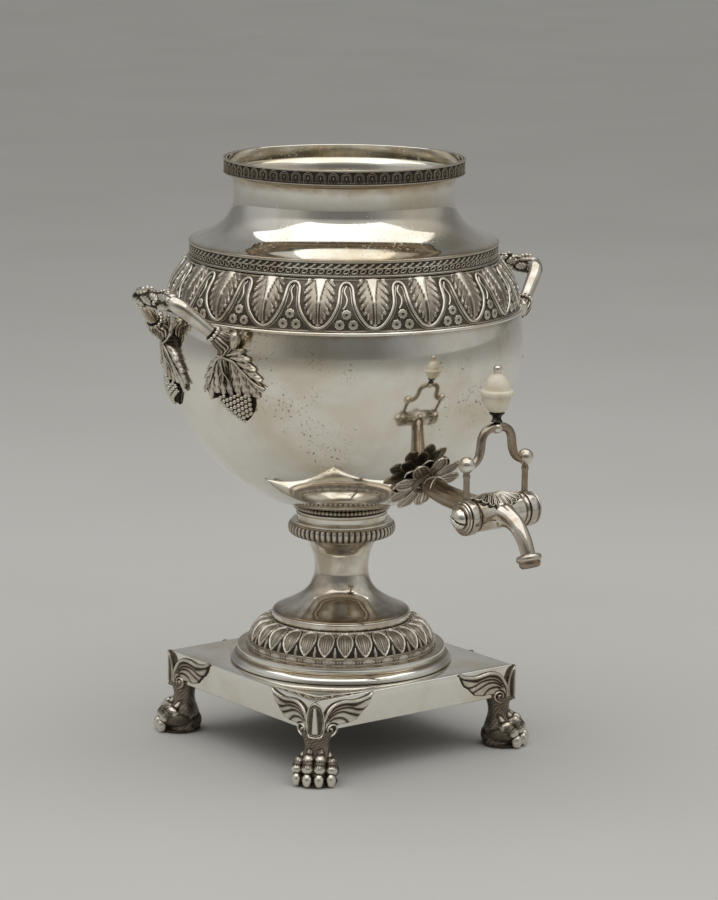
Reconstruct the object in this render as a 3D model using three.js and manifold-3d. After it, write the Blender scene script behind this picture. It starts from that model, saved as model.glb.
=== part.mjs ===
// Silver tea urn: a vase-shaped body on a square plinth with paw feet, two vine handles and a lever tap.
// Millimetres, +Z up. The tap points to -Y and the handles stand at -X and +X.
import * as THREE from "three";
import { mergeVertices } from "three/addons/utils/BufferGeometryUtils.js";
import Module from "manifold-3d";

const wasm = await Module();
wasm.setup();

// Heights of the pieces, stacked from the floor to the rim
const footHeight = 33.5;
const plinthHeight = 20;
const lowerStepHeight = 5.5;
const upperStepHeight = 4.4;
const beadReelHeight = 3.8;
const domeHeight = 14;
const stemRingHeight = 5;
const stemHeight = 50.3;
const gadroonHeight = 8.5;
const collarHeight = 5.2;
const bowlBeadingHeight = 4;
const bowlHeight = 129.2;
const wireHeight = 2.6;
const leafBandHeight = 31.4;
const shoulderBandHeight = 9.6;
const neckHeight = 53;

const plinthTop = footHeight + plinthHeight;
const lowerStepTop = plinthTop + lowerStepHeight;
const upperStepTop = lowerStepTop + upperStepHeight;
const beadReelTop = upperStepTop + beadReelHeight;
const domeTop = beadReelTop + domeHeight;
const stemRingTop = domeTop + stemRingHeight;
const stemTop = stemRingTop + stemHeight;
const gadroonTop = stemTop + gadroonHeight;
const collarTop = gadroonTop + collarHeight;
const bowlBase = collarTop + bowlBeadingHeight;
const bowlTop = bowlBase + bowlHeight;
const wireTop = bowlTop + wireHeight;
const leafBandTop = wireTop + leafBandHeight;
const shoulderTop = leafBandTop + shoulderBandHeight;
const rimTop = shoulderTop + neckHeight;

// The foot's side and the steps in from it
const plinthSide = 159;
const plinthMargin = 7.5;
const stepTread = 4.5;
const bandSetback = 6;
const domeSetback = 1;
const lowerStepRadius = plinthSide / 2 - plinthMargin;
const upperStepRadius = lowerStepRadius - stepTread;
const beadReelRadius = upperStepRadius - bandSetback;
const domeRadius = beadReelRadius - domeSetback;

// The stem and the rings under the bowl
const domeSlope = 15.5;
const stemRingRadius = domeRadius - domeSlope;
const stemRingLip = 1.1;
const stemFlareRadius = stemRingRadius - stemRingLip;
const stemThroatRadius = 17.4;
const gadroonRadius = 34.8;
const gadroonOverhang = 6.8;
const stemTopRadius = gadroonRadius - gadroonOverhang;
const collarSetback = 2.8;
const collarRadius = gadroonRadius - collarSetback;
const beadingSetback = 1.1;
const bowlBeadingRadius = collarRadius - beadingSetback;
const ringBoreRadius = stemTopRadius * 0.6;

// The bowl, and the steps in from its widest level to the rim
const bowlRadius = 115.3;
const mouthDrawIn = 2.3;
const wireLip = 1.4;
const leafBandSwell = 13.3;
const shoulderLip = 0.9;
const shoulderWidth = 28.6;
const rimFlare = 7.1;
const rimBandHeight = 9.5;
const bowlMouthRadius = bowlRadius - mouthDrawIn;
const wireRadius = bowlMouthRadius + wireLip;
const leafBandTopRadius = bowlMouthRadius - leafBandSwell;
const shoulderRadius = leafBandTopRadius - shoulderLip;
const throatRadius = shoulderRadius - shoulderWidth;
const rimRadius = throatRadius + rimFlare;

// Walls, gaps and the fineness of round shapes
const sheetWall = 1.2;
const plinthWall = 1.5;
const castWall = 1.6;
const seatGap = 0.3;
const overrun = 5;
const fineness = 0.08;
const mergeDistance = 0.001;
const halvings = 30;
const bigSteps = 30;
const stemSteps = 20;
const smallSteps = 16;
const barSteps = 6;

// Patterns that go round
const leafCount = 20;
const gadroonCount = 56;
const domeLeafCount = 28;
const beadingCount = 32;
const leafRelief = 2.2;
const gadroonRelief = 1.5;
const domeRelief = 1.6;
const beadingRelief = 0.8;

const silver = { color: 0xb9b4a8, roughness: 0.22, metalness: 1 };
const darkSilver = { color: 0x8b8577, roughness: 0.38, metalness: 1 };
const darkMetal = { color: 0x3a3632, roughness: 0.5, metalness: 1 };
const ivory = { color: 0xe9e2cf, roughness: 0.35, metalness: 0 };

const urn = new THREE.Group();

const at2 = (radius, level) => new THREE.Vector2(radius, level);
const at3 = (x, y, z) => new THREE.Vector3(x, y, z);
const mix = THREE.MathUtils.lerp;

// A closed surface whose faces are turned to the outside, whichever way its grid ran
function closedSurface(vertices, faces) {
  let volume = 0;
  for (let i = 0; i < faces.length; i += 3) {
    const [a, b, c] = [vertices[faces[i]], vertices[faces[i + 1]], vertices[faces[i + 2]]];
    volume += a.dot(at3(0, 0, 0).crossVectors(b, c));
  }
  const index = volume < 0 ? faces.slice().reverse() : faces;
  const geometry = new THREE.BufferGeometry().setFromPoints(vertices);
  geometry.setIndex(index);
  geometry.computeVertexNormals();
  return geometry;
}

// A grid that closes on itself both ways: pointAt(i, j) for i round the axis and j round the section
function ringGrid(columns, rows, pointAt) {
  const vertices = [];
  const faces = [];
  for (let i = 0; i < columns; i++) {
    for (let j = 0; j < rows; j++) {
      vertices.push(pointAt(i, j));
      const next = ((i + 1) % columns) * rows;
      const up = (j + 1) % rows;
      faces.push(i * rows + j, next + j, next + up, i * rows + j, next + up, i * rows + up);
    }
  }
  return closedSurface(vertices, faces);
}

// Rings of points, one after another, closed at both ends by a fan
function loft(rings) {
  const sides = rings[0].length;
  const vertices = rings.flat();
  const faces = [];
  for (let i = 0; i + 1 < rings.length; i++) {
    for (let j = 0; j < sides; j++) {
      const here = i * sides;
      const next = here + sides;
      const turn = (j + 1) % sides;
      faces.push(here + j, here + turn, next + turn, here + j, next + turn, next + j);
    }
  }
  for (const end of [0, rings.length - 1]) {
    const centre = at3(0, 0, 0);
    rings[end].forEach((p) => centre.add(p));
    vertices.push(centre.divideScalar(sides));
    for (let j = 0; j < sides; j++) {
      const pair = [end * sides + j, end * sides + ((j + 1) % sides)];
      faces.push(vertices.length - 1, ...(end ? pair : pair.reverse()));
    }
  }
  return closedSurface(vertices, faces);
}

// A section outline, closed or from axis to axis, turned about +Z
function revolve(outline, steps) {
  const onAxis = outline[0].x === 0;
  const geometry = new THREE.LatheGeometry(onAxis ? outline : [...outline, outline[0]], steps);
  geometry.rotateX(Math.PI / 2);
  const merged = bare(geometry);
  const vertices = [];
  const place = merged.getAttribute("position");
  for (let i = 0; i < place.count; i++) {
    vertices.push(at3(0, 0, 0).fromBufferAttribute(place, i));
  }
  return closedSurface(vertices, Array.from(merged.index.array));
}

// A turned outside whose marked rings are pressed in between the copies of a pattern, and a plain bore
function carvedRing(outline, relief, copies, stepsPerCopy, bore) {
  const columns = copies * stepsPerCopy;
  const rings = outline.map(([point, depthShare]) => {
    const ring = [];
    for (let i = 0; i < columns; i++) {
      const angle = (i / columns) * 2 * Math.PI - Math.PI / 2;
      const wave = (1 - Math.cos((i / stepsPerCopy) * 2 * Math.PI)) / 2;
      const radius = point.x - depthShare * relief * (1 - wave);
      ring.push(at3(radius * Math.cos(angle), radius * Math.sin(angle), point.y));
    }
    return ring;
  });
  return fromSolid(toSolid(loft(rings)).subtract(toSolid(revolve(bore, bigSteps))));
}

// A ring whose tile is drawn by rows: each has its point and half a tile, as shares across and
// shares of the relief's depth from the tile's middle to its end, which is mirrored and repeated
function tiledRing(rows, relief, copies, bore) {
  const halfTurn = Math.PI / copies;
  const rings = rows.map(({ point, halfTile }) => {
    const mirrored = halfTile.slice(1, -1).map(([across, depth]) => [-across, depth]);
    const tile = [...mirrored.reverse(), ...halfTile];
    const ring = [];
    for (let i = 0; i < copies; i++) {
      for (const [across, depth] of tile) {
        const angle = (2 * i + 1 + across) * halfTurn - Math.PI / 2;
        const radius = point.x - depth * relief;
        ring.push(at3(radius * Math.cos(angle), radius * Math.sin(angle), point.y));
      }
    }
    return ring;
  });
  return fromSolid(toSolid(loft(rings)).subtract(toSolid(revolve(bore, bigSteps))));
}

// The outline of a hole from below one level to above another, with its radius at each
function boreLine(...points) {
  const [first, last] = [points[0], points[points.length - 1]];
  return [
    at2(0, first.y - overrun),
    at2(first.x, first.y - overrun),
    ...points,
    at2(last.x, last.y + overrun),
    at2(0, last.y + overrun),
  ];
}

// A round bar along a curve: radiusAt(share) gives its half thickness, and flat squeezes it across
function bar(curve, radiusAt, steps, sides = barSteps, flat = 1) {
  const frames = curve.computeFrenetFrames(steps, false);
  const rings = [];
  for (let i = 0; i <= steps; i++) {
    const centre = curve.getPointAt(i / steps);
    const radius = radiusAt(i / steps);
    const ring = [];
    for (let j = 0; j < sides; j++) {
      const angle = (j / sides) * 2 * Math.PI;
      const across = frames.normals[i].clone().multiplyScalar(Math.cos(angle) * radius);
      const along = frames.binormals[i].clone().multiplyScalar(Math.sin(angle) * radius * flat);
      ring.push(centre.clone().add(across).add(along));
    }
    rings.push(ring);
  }
  return loft(rings);
}

// Only the places of the points, with shared points merged
function bare(geometry) {
  const copy = geometry.clone();
  copy.deleteAttribute("normal");
  copy.deleteAttribute("uv");
  return mergeVertices(copy, mergeDistance);
}

function toSolid(geometry) {
  const merged = bare(geometry);
  return new wasm.Manifold(
    new wasm.Mesh({
      numProp: 3,
      vertProperties: new Float32Array(merged.getAttribute("position").array),
      triVerts: new Uint32Array(merged.index.array),
    }),
  );
}

// Back to a geometry, without the slivers that cuts leave
function fromSolid(solid) {
  const mesh = solid.asOriginal().simplify(fineness).getMesh();
  const geometry = new THREE.BufferGeometry();
  const places = [];
  for (let i = 0; i < mesh.numVert; i++) {
    places.push(...mesh.vertProperties.subarray(i * mesh.numProp, i * mesh.numProp + 3));
  }
  geometry.setAttribute("position", new THREE.Float32BufferAttribute(places, 3));
  geometry.setIndex(Array.from(mesh.triVerts));
  geometry.computeVertexNormals();
  return geometry;
}

const join = (shapes) => shapes.map(toSolid).reduce((all, one) => all.add(one));

function piece(name, geometry, look, parent = urn) {
  const mesh = new THREE.Mesh(geometry, new THREE.MeshStandardMaterial(look));
  mesh.name = name;
  parent.add(mesh);
  return mesh;
}

function group(parent = urn) {
  const made = new THREE.Group();
  parent.add(made);
  return made;
}

const cubic = (points, steps) => new THREE.CubicBezierCurve(...points).getPoints(steps);

// The bowl's outer line: a full round below its widest level and a slight draw-in to the mouth
const widestShare = 0.826;
const bowlFloorPower = 1.623;
const bowlSidePower = 2.444;
const bowlWidest = bowlBase + bowlHeight * widestShare;

function bowlRadiusAt(level) {
  if (level > bowlWidest) {
    const share = (level - bowlWidest) / (bowlTop - bowlWidest);
    return mix(bowlRadius, bowlMouthRadius, share * share);
  }
  const depth = (bowlWidest - level) / (bowlWidest - bowlBase);
  return bowlRadius * (1 - depth ** bowlFloorPower) ** (1 / bowlSidePower);
}

const bowlLevelShares = [0, 0.018, 0.06, 0.13, 0.24, 0.38, 0.56, widestShare, 1];
const bowlLine = new THREE.SplineCurve(
  bowlLevelShares.map((share) => {
    const level = bowlBase + bowlHeight * share;
    return at2(bowlRadiusAt(level), level);
  }),
);
const bowlLineLength = bowlLine.getLength();

// How far along the bowl's line a level lies, found by halving
function bowlLengthAt(level) {
  let [low, high] = [0, 1];
  for (let i = 0; i < halvings; i++) {
    const middle = (low + high) / 2;
    if (bowlLine.getPointAt(middle).y < level) low = middle;
    else high = middle;
  }
  return low * bowlLineLength;
}

// A point on the bowl: across and up in millimetres from a place on it, lifted off the surface
function onBowl(angle, startLength, across, up, lift) {
  const share = THREE.MathUtils.clamp((startLength + up) / bowlLineLength, 0, 1);
  const place = bowlLine.getPointAt(share);
  const tangent = bowlLine.getTangentAt(share);
  const turned = angle + across / place.x;
  const radius = place.x + tangent.y * lift;
  return at3(radius * Math.cos(turned), radius * Math.sin(turned), place.y - tangent.x * lift);
}

// Everything that the bowl fills, with a gap round it, for pieces that sit against it
function bowlBlock() {
  const outline = bowlLevelShares.map((share) => {
    const level = bowlBase + bowlHeight * share;
    const radius = bowlRadiusAt(level);
    return at2(radius ? radius + seatGap : 0, radius ? level : level - seatGap);
  });
  outline.push(at2(wireRadius + seatGap, bowlTop), at2(wireRadius + seatGap, wireTop));
  outline.push(at2(bowlMouthRadius + seatGap, wireTop), at2(bowlMouthRadius + seatGap, leafBandTop));
  outline.push(at2(0, leafBandTop));
  return toSolid(revolve(outline, bigSteps));
}

// The tap's lever pivot, its inlet on the bowl and its directions
const tapInletShare = 0.258;
const tapDrop = 10.5;
const tapStandoff = 72;
const tubeRadius = 6.6;
const tubeEndRadius = 8;
const tubeBore = 3.4;
const tubeInside = 4;
const tapInletLevel = bowlBase + bowlHeight * tapInletShare;
const inletReach = bowlRadiusAt(tapInletLevel);
const tapPivot = at3(0, -inletReach - tapStandoff, tapInletLevel - tapDrop);
const tapInlet = at3(0, -inletReach, tapInletLevel);
const tapDirection = tapPivot.clone().sub(tapInlet).normalize();
const tubeStart = tapInlet.clone().addScaledVector(tapDirection, -tubeInside);

// The tap's inlet tube, or with a gap added the room that it takes
function inletTube(gap) {
  const line = new THREE.LineCurve3(tubeStart, tapPivot);
  return bar(line, (share) => mix(tubeRadius, tubeEndRadius, share) + gap, 2, smallSteps);
}

function makeBowl() {
  const outer = bowlLevelShares.map((share) => {
    const level = bowlBase + bowlHeight * share;
    return at2(bowlRadiusAt(level), level);
  });
  const inner = outer.map((point, i) => {
    if (point.x === 0) return at2(0, point.y + sheetWall);
    if (i === outer.length - 1) return at2(point.x - sheetWall, point.y);
    const along = outer[i + 1].clone().sub(outer[i - 1]).normalize();
    return at2(point.x - along.y * sheetWall, point.y + along.x * sheetWall);
  });
  const shell = toSolid(revolve([...outer, ...inner.reverse()], bigSteps));
  const drillStart = tubeStart.clone().addScaledVector(tapDirection, -overrun);
  const drill = bar(new THREE.LineCurve3(drillStart, tapInlet), () => tubeRadius + seatGap, 1, smallSteps);
  piece("bowl", fromSolid(shell.subtract(toSolid(inletTube(seatGap)).add(toSolid(drill)))), silver);
}

// Neck and shoulder, raised from one sheet, turned down inside the shoulder band
const shoulderRise = 1.4;
const lipFlare = 1.8;
const bandInside = shoulderRadius - sheetWall;
const flangeInside = bandInside - seatGap - sheetWall;
const rimInside = rimRadius - castWall - seatGap;

function neckLine(inset) {
  const lip = at2(throatRadius + lipFlare - inset, rimTop - rimBandHeight + inset);
  const throat = at2(throatRadius - inset, shoulderTop + neckHeight * 0.5);
  const edgeRadius = inset ? flangeInside : shoulderRadius;
  const shoulderEdge = at2(edgeRadius, shoulderTop + shoulderRise - inset);
  const rise = throat.y - shoulderEdge.y;
  const spread = shoulderEdge.x - throat.x;
  const sweep = cubic(
    [
      throat,
      at2(throat.x, throat.y - rise * 0.6),
      at2(throat.x + spread * 0.42, throat.y - rise * 0.78),
      shoulderEdge,
    ],
    4,
  );
  return [lip, ...sweep];
}

function makeNeck() {
  const outer = [
    at2(rimInside, rimTop),
    at2(rimInside, rimTop - rimBandHeight),
    ...neckLine(0),
    at2(shoulderRadius, shoulderTop),
    at2(bandInside - seatGap, shoulderTop),
    at2(bandInside - seatGap, leafBandTop),
  ];
  const inner = [
    at2(flangeInside, leafBandTop),
    ...neckLine(sheetWall).reverse(),
    at2(rimInside - sheetWall, rimTop - rimBandHeight + sheetWall),
    at2(rimInside - sheetWall, rimTop),
  ];
  piece("neck_shell", revolve([...outer, ...inner], bigSteps), silver);
}

function makeRimBand() {
  const low = rimTop - rimBandHeight;
  const lip = rimBandHeight * 0.1;
  const outline = [
    at2(rimRadius - castWall, low),
    at2(rimRadius - castWall * 0.25, low),
    at2(rimRadius - castWall * 0.5, low + lip),
    at2(rimRadius - castWall * 0.5, rimTop - lip),
    at2(rimRadius, rimTop - lip),
    at2(rimRadius, rimTop),
    at2(rimRadius - castWall, rimTop),
  ];
  piece("rim_band", revolve(outline, bigSteps), darkSilver);
}

function makeShoulderBand() {
  const moulding = shoulderBandHeight * 0.2;
  const outline = [
    at2(bandInside, leafBandTop),
    at2(leafBandTopRadius, leafBandTop),
    at2(leafBandTopRadius, leafBandTop + moulding),
    at2(shoulderRadius - sheetWall * 0.4, leafBandTop + moulding),
    at2(shoulderRadius - sheetWall * 0.4, shoulderTop - seatGap),
    at2(bandInside, shoulderTop - seatGap),
  ];
  piece("shoulder_band", revolve(outline, bigSteps), darkSilver);
}

// The convex band of hanging leaves, by rows from the wire to the shoulder: each row's rise and
// how far it swells, where the leaf's edge and the looped rib run across half a tile, and the
// depth at the leaf's middle, halfway to its edge, at its edge, on the rib, beside it and at the end
const leafBandShares = [
  [0, 1, 0.08, 0.26, [0.5, 0.5, 0.5, 0.5, 0.5, 0.5]],
  [0.08, 1, 0.08, 0.26, [0.1, 0.1, 0.1, 0.3, 1, 1]],
  [0.18, 0.99, 0.17, 0.48, [0.2, 0.4, 1, 0.1, 0.3, 1]],
  [0.3, 0.97, 0.36, 0.62, [0.15, 0.4, 1, 0.1, 0.4, 0.5]],
  [0.43, 0.885, 0.5, 0.7, [0.1, 0.35, 0.9, 0.1, 0.9, 0.2]],
  [0.6, 0.71, 0.6, 0.73, [0.1, 0.35, 0.7, 0.1, 1, 0.35]],
  [0.8, 0.385, 0.64, 0.74, [0.05, 0.35, 0.6, 0.1, 1, 0.35]],
  [0.93, 0.16, 0.63, 0.88, [0.05, 0.35, 0.6, 0.1, 0.3, 0.1]],
  [1, 0, 0.63, 0.88, [0, 0, 0, 0, 0, 0]],
];

function makeLeafBand() {
  const swell = bowlMouthRadius - leafBandTopRadius;
  const rows = leafBandShares.map(([rise, out, edge, rib, depths]) => {
    const places = [0, edge / 2, edge, rib, (rib + 1) / 2, 1];
    const level = wireTop + (leafBandHeight - seatGap) * rise;
    return {
      point: at2(leafBandTopRadius + swell * out, level),
      halfTile: places.map((across, i) => [across, depths[i]]),
    };
  });
  const back = leafRelief + sheetWall;
  const bore = [0, 5, 8].map((i) => at2(rows[i].point.x - back, rows[i].point.y));
  piece("leaf_band", tiledRing(rows, leafRelief, leafCount, boreLine(...bore)), darkSilver);
}

function makeWire() {
  const middle = (bowlTop + wireTop) / 2;
  const inside = bowlMouthRadius - sheetWall - castWall;
  const outline = [
    at2(inside, bowlTop),
    at2(bowlMouthRadius, bowlTop),
    at2(wireRadius, middle),
    at2(bowlMouthRadius, wireTop),
    at2(inside, wireTop),
  ];
  piece("leaf_band_wire", revolve(outline, bigSteps), silver);
}

// Rings between the bowl and the stem
function makeBowlBeading() {
  const middle = (collarTop + bowlBase) / 2;
  const seatRadius = bowlBeadingRadius * 0.9;
  const seatLevel = (radius) => {
    let level = bowlBase;
    while (bowlRadiusAt(level) < radius) level += seatGap / 3;
    return level - seatGap;
  };
  const outline = [
    [at2(bowlBeadingRadius * 0.93, collarTop), 0],
    [at2(bowlBeadingRadius, middle), 1],
    [at2(seatRadius, seatLevel(seatRadius)), 0],
  ];
  const seat = [
    at2(0, seatLevel(ringBoreRadius)),
    at2(ringBoreRadius, seatLevel(ringBoreRadius)),
    at2(seatRadius, seatLevel(seatRadius)),
    at2(seatRadius, bowlBase + bowlBeadingHeight),
    at2(0, bowlBase + bowlBeadingHeight),
  ];
  const hole = boreLine(at2(ringBoreRadius, collarTop), at2(ringBoreRadius, bowlBase));
  const ring = toSolid(carvedRing(outline, beadingRelief, beadingCount, 2, hole));
  piece("bowl_beading", fromSolid(ring.subtract(toSolid(revolve(seat, stemSteps)))), darkSilver);
}

function makeCollar() {
  const necked = bowlBeadingRadius * 0.945;
  const outline = [
    at2(ringBoreRadius, gadroonTop),
    at2(collarRadius, gadroonTop),
    at2(collarRadius, gadroonTop + collarHeight * 0.3),
    at2(necked, gadroonTop + collarHeight * 0.42),
    at2(necked, gadroonTop + collarHeight * 0.8),
    at2(bowlBeadingRadius * 0.97, collarTop),
    at2(ringBoreRadius, collarTop),
  ];
  piece("collar_ring", revolve(outline, stemSteps), silver);
}

function makeGadroonRing() {
  const outline = [
    [at2(mix(stemTopRadius, gadroonRadius, 0.35), stemTop), 1],
    [at2(gadroonRadius, stemTop + gadroonHeight * 0.45), 1],
    [at2(mix(stemTopRadius, gadroonRadius, 0.75), gadroonTop), 1],
  ];
  const bore = boreLine(at2(ringBoreRadius, stemTop), at2(ringBoreRadius, gadroonTop));
  piece("gadroon_ring", carvedRing(outline, gadroonRelief, gadroonCount, 2, bore), darkSilver);
}

// The trumpet stem, spun from sheet and open below
function stemLine(inset) {
  const top = at2(stemTopRadius - inset, stemTop);
  const throat = at2(stemThroatRadius - inset, stemRingTop + stemHeight * 0.56);
  const flare = at2(stemFlareRadius - inset, stemRingTop);
  const up = top.y - throat.y;
  const down = throat.y - flare.y;
  const upper = cubic(
    [top, at2(mix(throat.x, top.x, 0.3), top.y - up * 0.25), at2(throat.x, throat.y + up * 0.5), throat],
    3,
  );
  const lower = cubic(
    [
      throat,
      at2(throat.x, throat.y - down * 0.55),
      at2(mix(throat.x, flare.x, 0.25), throat.y - down * 0.78),
      at2(flare.x, flare.y + stemRingHeight * 0.2),
    ],
    4,
  );
  return [...upper, ...lower.slice(1), flare];
}

function makeStem() {
  piece("stem", revolve([...stemLine(0), ...stemLine(sheetWall).reverse()], stemSteps), silver);
}

function makeStemRing() {
  const inside = stemFlareRadius - castWall - sheetWall;
  const outline = [
    at2(inside, domeTop),
    at2(stemRingRadius * 0.99, domeTop),
    at2(stemRingRadius, domeTop + stemRingHeight * 0.35),
    at2(stemRingRadius, domeTop + stemRingHeight * 0.75),
    at2(stemFlareRadius, stemRingTop),
    at2(inside, stemRingTop),
  ];
  piece("stem_ring", revolve(outline, bigSteps), silver);
}

// The dome of lotus leaves, a shell whose leaves stand out from the ground between them
function makeDome() {
  const topRadius = stemRingRadius * 0.985;
  const shares = [
    [1, 0, 0.3],
    [0.9, 0.42, 1],
    [0.55, 0.8, 1],
    [0, 1, 0.3],
  ];
  const outline = shares.map(([out, rise, depth]) => [
    at2(mix(topRadius, domeRadius, out), beadReelTop + domeHeight * rise),
    depth,
  ]);
  const back = domeRelief + sheetWall;
  const bore = boreLine(
    at2(domeRadius - back, beadReelTop),
    at2(mix(topRadius, domeRadius, 0.5) - back, beadReelTop + domeHeight * 0.6),
    at2(topRadius - back, domeTop),
  );
  piece("leaf_dome", carvedRing(outline, domeRelief, domeLeafCount, 2, bore), darkSilver);
}

function makeBeadReel() {
  const middle = (upperStepTop + beadReelTop) / 2;
  const inside = domeRadius - domeRelief - sheetWall;
  const outline = [
    at2(inside, upperStepTop),
    at2(beadReelRadius, upperStepTop),
    at2(beadReelRadius + seatGap, middle),
    at2(beadReelRadius, beadReelTop),
    at2(inside, beadReelTop),
  ];
  piece("bead_reel_band", revolve(outline, bigSteps), darkSilver);
}

function makeSteps() {
  const edge = lowerStepHeight * 0.2;
  const inside = beadReelRadius - castWall * 3;
  const outline = [
    at2(lowerStepRadius - castWall, plinthTop),
    at2(lowerStepRadius, plinthTop),
    at2(lowerStepRadius, lowerStepTop - edge),
    at2(lowerStepRadius - edge, lowerStepTop),
    at2(upperStepRadius, lowerStepTop),
    at2(upperStepRadius, upperStepTop - edge),
    at2(upperStepRadius - edge, upperStepTop),
    at2(inside, upperStepTop),
    at2(inside, upperStepTop - castWall),
    at2(upperStepRadius - castWall, upperStepTop - castWall),
    at2(upperStepRadius - castWall, lowerStepTop - castWall),
    at2(lowerStepRadius - castWall, lowerStepTop - castWall),
  ];
  piece("stepped_base_ring", revolve(outline, bigSteps), silver);
}

// The square plinth: a flat top with four skirts, open below
function makePlinth() {
  const block = new THREE.BoxGeometry(plinthSide, plinthSide, plinthHeight);
  const hollowSide = plinthSide - 2 * plinthWall;
  const hollow = new THREE.BoxGeometry(hollowSide, hollowSide, plinthHeight);
  hollow.translate(0, 0, -plinthWall);
  const plinth = piece("plinth", fromSolid(toSolid(block).subtract(toSolid(hollow))), silver);
  plinth.position.z = footHeight + plinthHeight / 2;
}

// A paw foot, made with +X as the outward diagonal of the plinth
const pawLength = 30.6;
const pawWidth = 29;
const heelSetback = 20;
const cornerReach = plinthSide / Math.SQRT2;
const heelReach = cornerReach - heelSetback;
// Level, back, front and half width of the foot's sections, as shares of its height, length and width
const pawSectionShares = [
  [0, 0.04, 0.62, 0.72],
  [0.12, 0, 0.72, 0.88],
  [0.34, 0.03, 0.76, 0.9],
  [0.52, 0.08, 0.7, 0.76],
  [0.68, 0.12, 0.59, 0.56],
  [0.9, 0.11, 0.58, 0.58],
  [1, 0.08, 0.62, 0.7],
];
// Side place of each toe and where its knuckle stands along the foot
const toeShares = [
  [-0.37, 0.74],
  [-0.125, 0.8],
  [0.125, 0.8],
  [0.37, 0.74],
];
// Reach, level and half thickness along a toe, from its knuckle to the claw's tip
const toeLineShares = [
  [-0.14, 0.42, 0.1],
  [0.05, 0.4, 0.15],
  [0.15, 0.2, 0.12],
  [0.19, 0, 0.06],
];
// Half of the wing's outline: along the skirt from the corner, and up from its lower edge
const wingLength = 45;
const wingShares = [
  [0.27, -0.14],
  [0.16, 0],
  [0.16, 0.6],
  [0.28, 0.92],
  [0.6, 0.88],
  [0.82, 0.86],
  [1, 1],
  [0.9, 0.5],
  [0.6, 0.22],
  [0.38, -0.02],
];
const lancetWidth = 8.5;

function skirtPlate(outline, thickness) {
  const shape = new THREE.Shape(outline);
  return new THREE.ExtrudeGeometry(shape, { depth: thickness, bevelEnabled: false });
}

// The foot's plates lie on the two skirts that meet at the corner
function cornerPlates() {
  const wing = wingShares.map(([along, up]) => at2(along * wingLength, up * plinthHeight));
  const lancet = [];
  const out = -(castWall + seatGap);
  lancet.push(at2(out, -plinthHeight * 0.12));
  for (let i = 0; i <= 4; i++) {
    const share = i / 4;
    const half = lancetWidth * Math.sin(Math.PI * (0.12 + 0.86 * share));
    lancet.push(at2(half, plinthHeight * mix(-0.12, 1, share)));
  }
  lancet.push(at2(out, plinthHeight));
  const plates = [];
  for (const side of [-1, 1]) {
    for (const [outline, thickness] of [
      [wing, castWall],
      [lancet, castWall * 1.3],
    ]) {
      const plate = skirtPlate(outline, thickness);
      plate.rotateX(Math.PI / 2);
      plate.translate(0, side > 0 ? -seatGap : seatGap + thickness, footHeight);
      plate.rotateZ(side > 0 ? Math.PI * 0.75 : -Math.PI * 0.75);
      plate.translate(cornerReach, 0, 0);
      plates.push(plate);
    }
  }
  return plates;
}

function pawShapes() {
  const top = footHeight - seatGap;
  const sides = 8;
  const rings = pawSectionShares.map(([level, back, front, width]) => {
    const low = heelReach + pawLength * back;
    const high = heelReach + pawLength * front;
    const ring = [];
    for (let j = 0; j < sides; j++) {
      const angle = (j / sides) * 2 * Math.PI;
      const x = (low + high) / 2 + ((high - low) / 2) * Math.cos(angle);
      ring.push(at3(x, ((pawWidth * width) / 2) * Math.sin(angle), top * level));
    }
    return ring;
  });
  const shapes = [loft(rings)];
  for (const [side, reach] of toeShares) {
    const line = toeLineShares.map(([along, level]) =>
      at3(heelReach + pawLength * (reach + along), side * pawWidth * (1 - along / 2), top * level),
    );
    const thickness = (share) => toeLineShares[Math.round(share * (toeLineShares.length - 1))][2] * pawWidth;
    shapes.push(bar(new THREE.CatmullRomCurve3(line), thickness, toeLineShares.length - 1, 5));
  }
  return shapes;
}

function makeFeet() {
  const floor = new THREE.BoxGeometry(plinthSide * 2, plinthSide * 2, footHeight);
  floor.translate(0, 0, -footHeight / 2);
  const skirts = new THREE.BoxGeometry(
    plinthSide + 2 * seatGap,
    plinthSide + 2 * seatGap,
    plinthHeight * 2,
  );
  skirts.rotateZ(Math.PI / 4);
  skirts.translate(0, 0, footHeight - seatGap + plinthHeight);
  const foot = fromSolid(
    join([...pawShapes(), ...cornerPlates()]).subtract(toSolid(floor)).subtract(toSolid(skirts)),
  );
  const names = ["foot_front_left", "foot_front_right", "foot_back_right", "foot_back_left"];
  names.forEach((name, i) => {
    const mesh = piece(name, foot.clone(), darkSilver);
    mesh.rotation.z = -Math.PI * 0.75 + (i * Math.PI) / 2;
  });
}

// Handles: a bar from one collar out over the crossbar to the other, made at +X
const handleStandoff = 28.2;
const handleRise = 15;
const handleSpread = 22;
const collarStandoff = 8.4;
const collarSpread = 32.4;
const collarDrop = 1.4;
const handleReach = bowlRadius + handleStandoff;
const handleLevel = wireTop + handleRise;
const collarReach = bowlRadius + collarStandoff;
const collarLevel = bowlTop - collarDrop;
const armRadius = 3.6;
const crossbarRadius = 4.4;
const beadCollarRadius = 5.6;
const beadCollarWidth = 3.4;
const mountAngle = THREE.MathUtils.degToRad(17);
const mountDrop = 20.4;
const mountLevel = bowlTop - mountDrop;

const handleSteps = 14;

function armDirection() {
  const start = at3(collarReach, collarSpread, collarLevel);
  const bend = at3(handleReach, handleSpread, handleLevel);
  return bend.sub(start).normalize();
}

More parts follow.
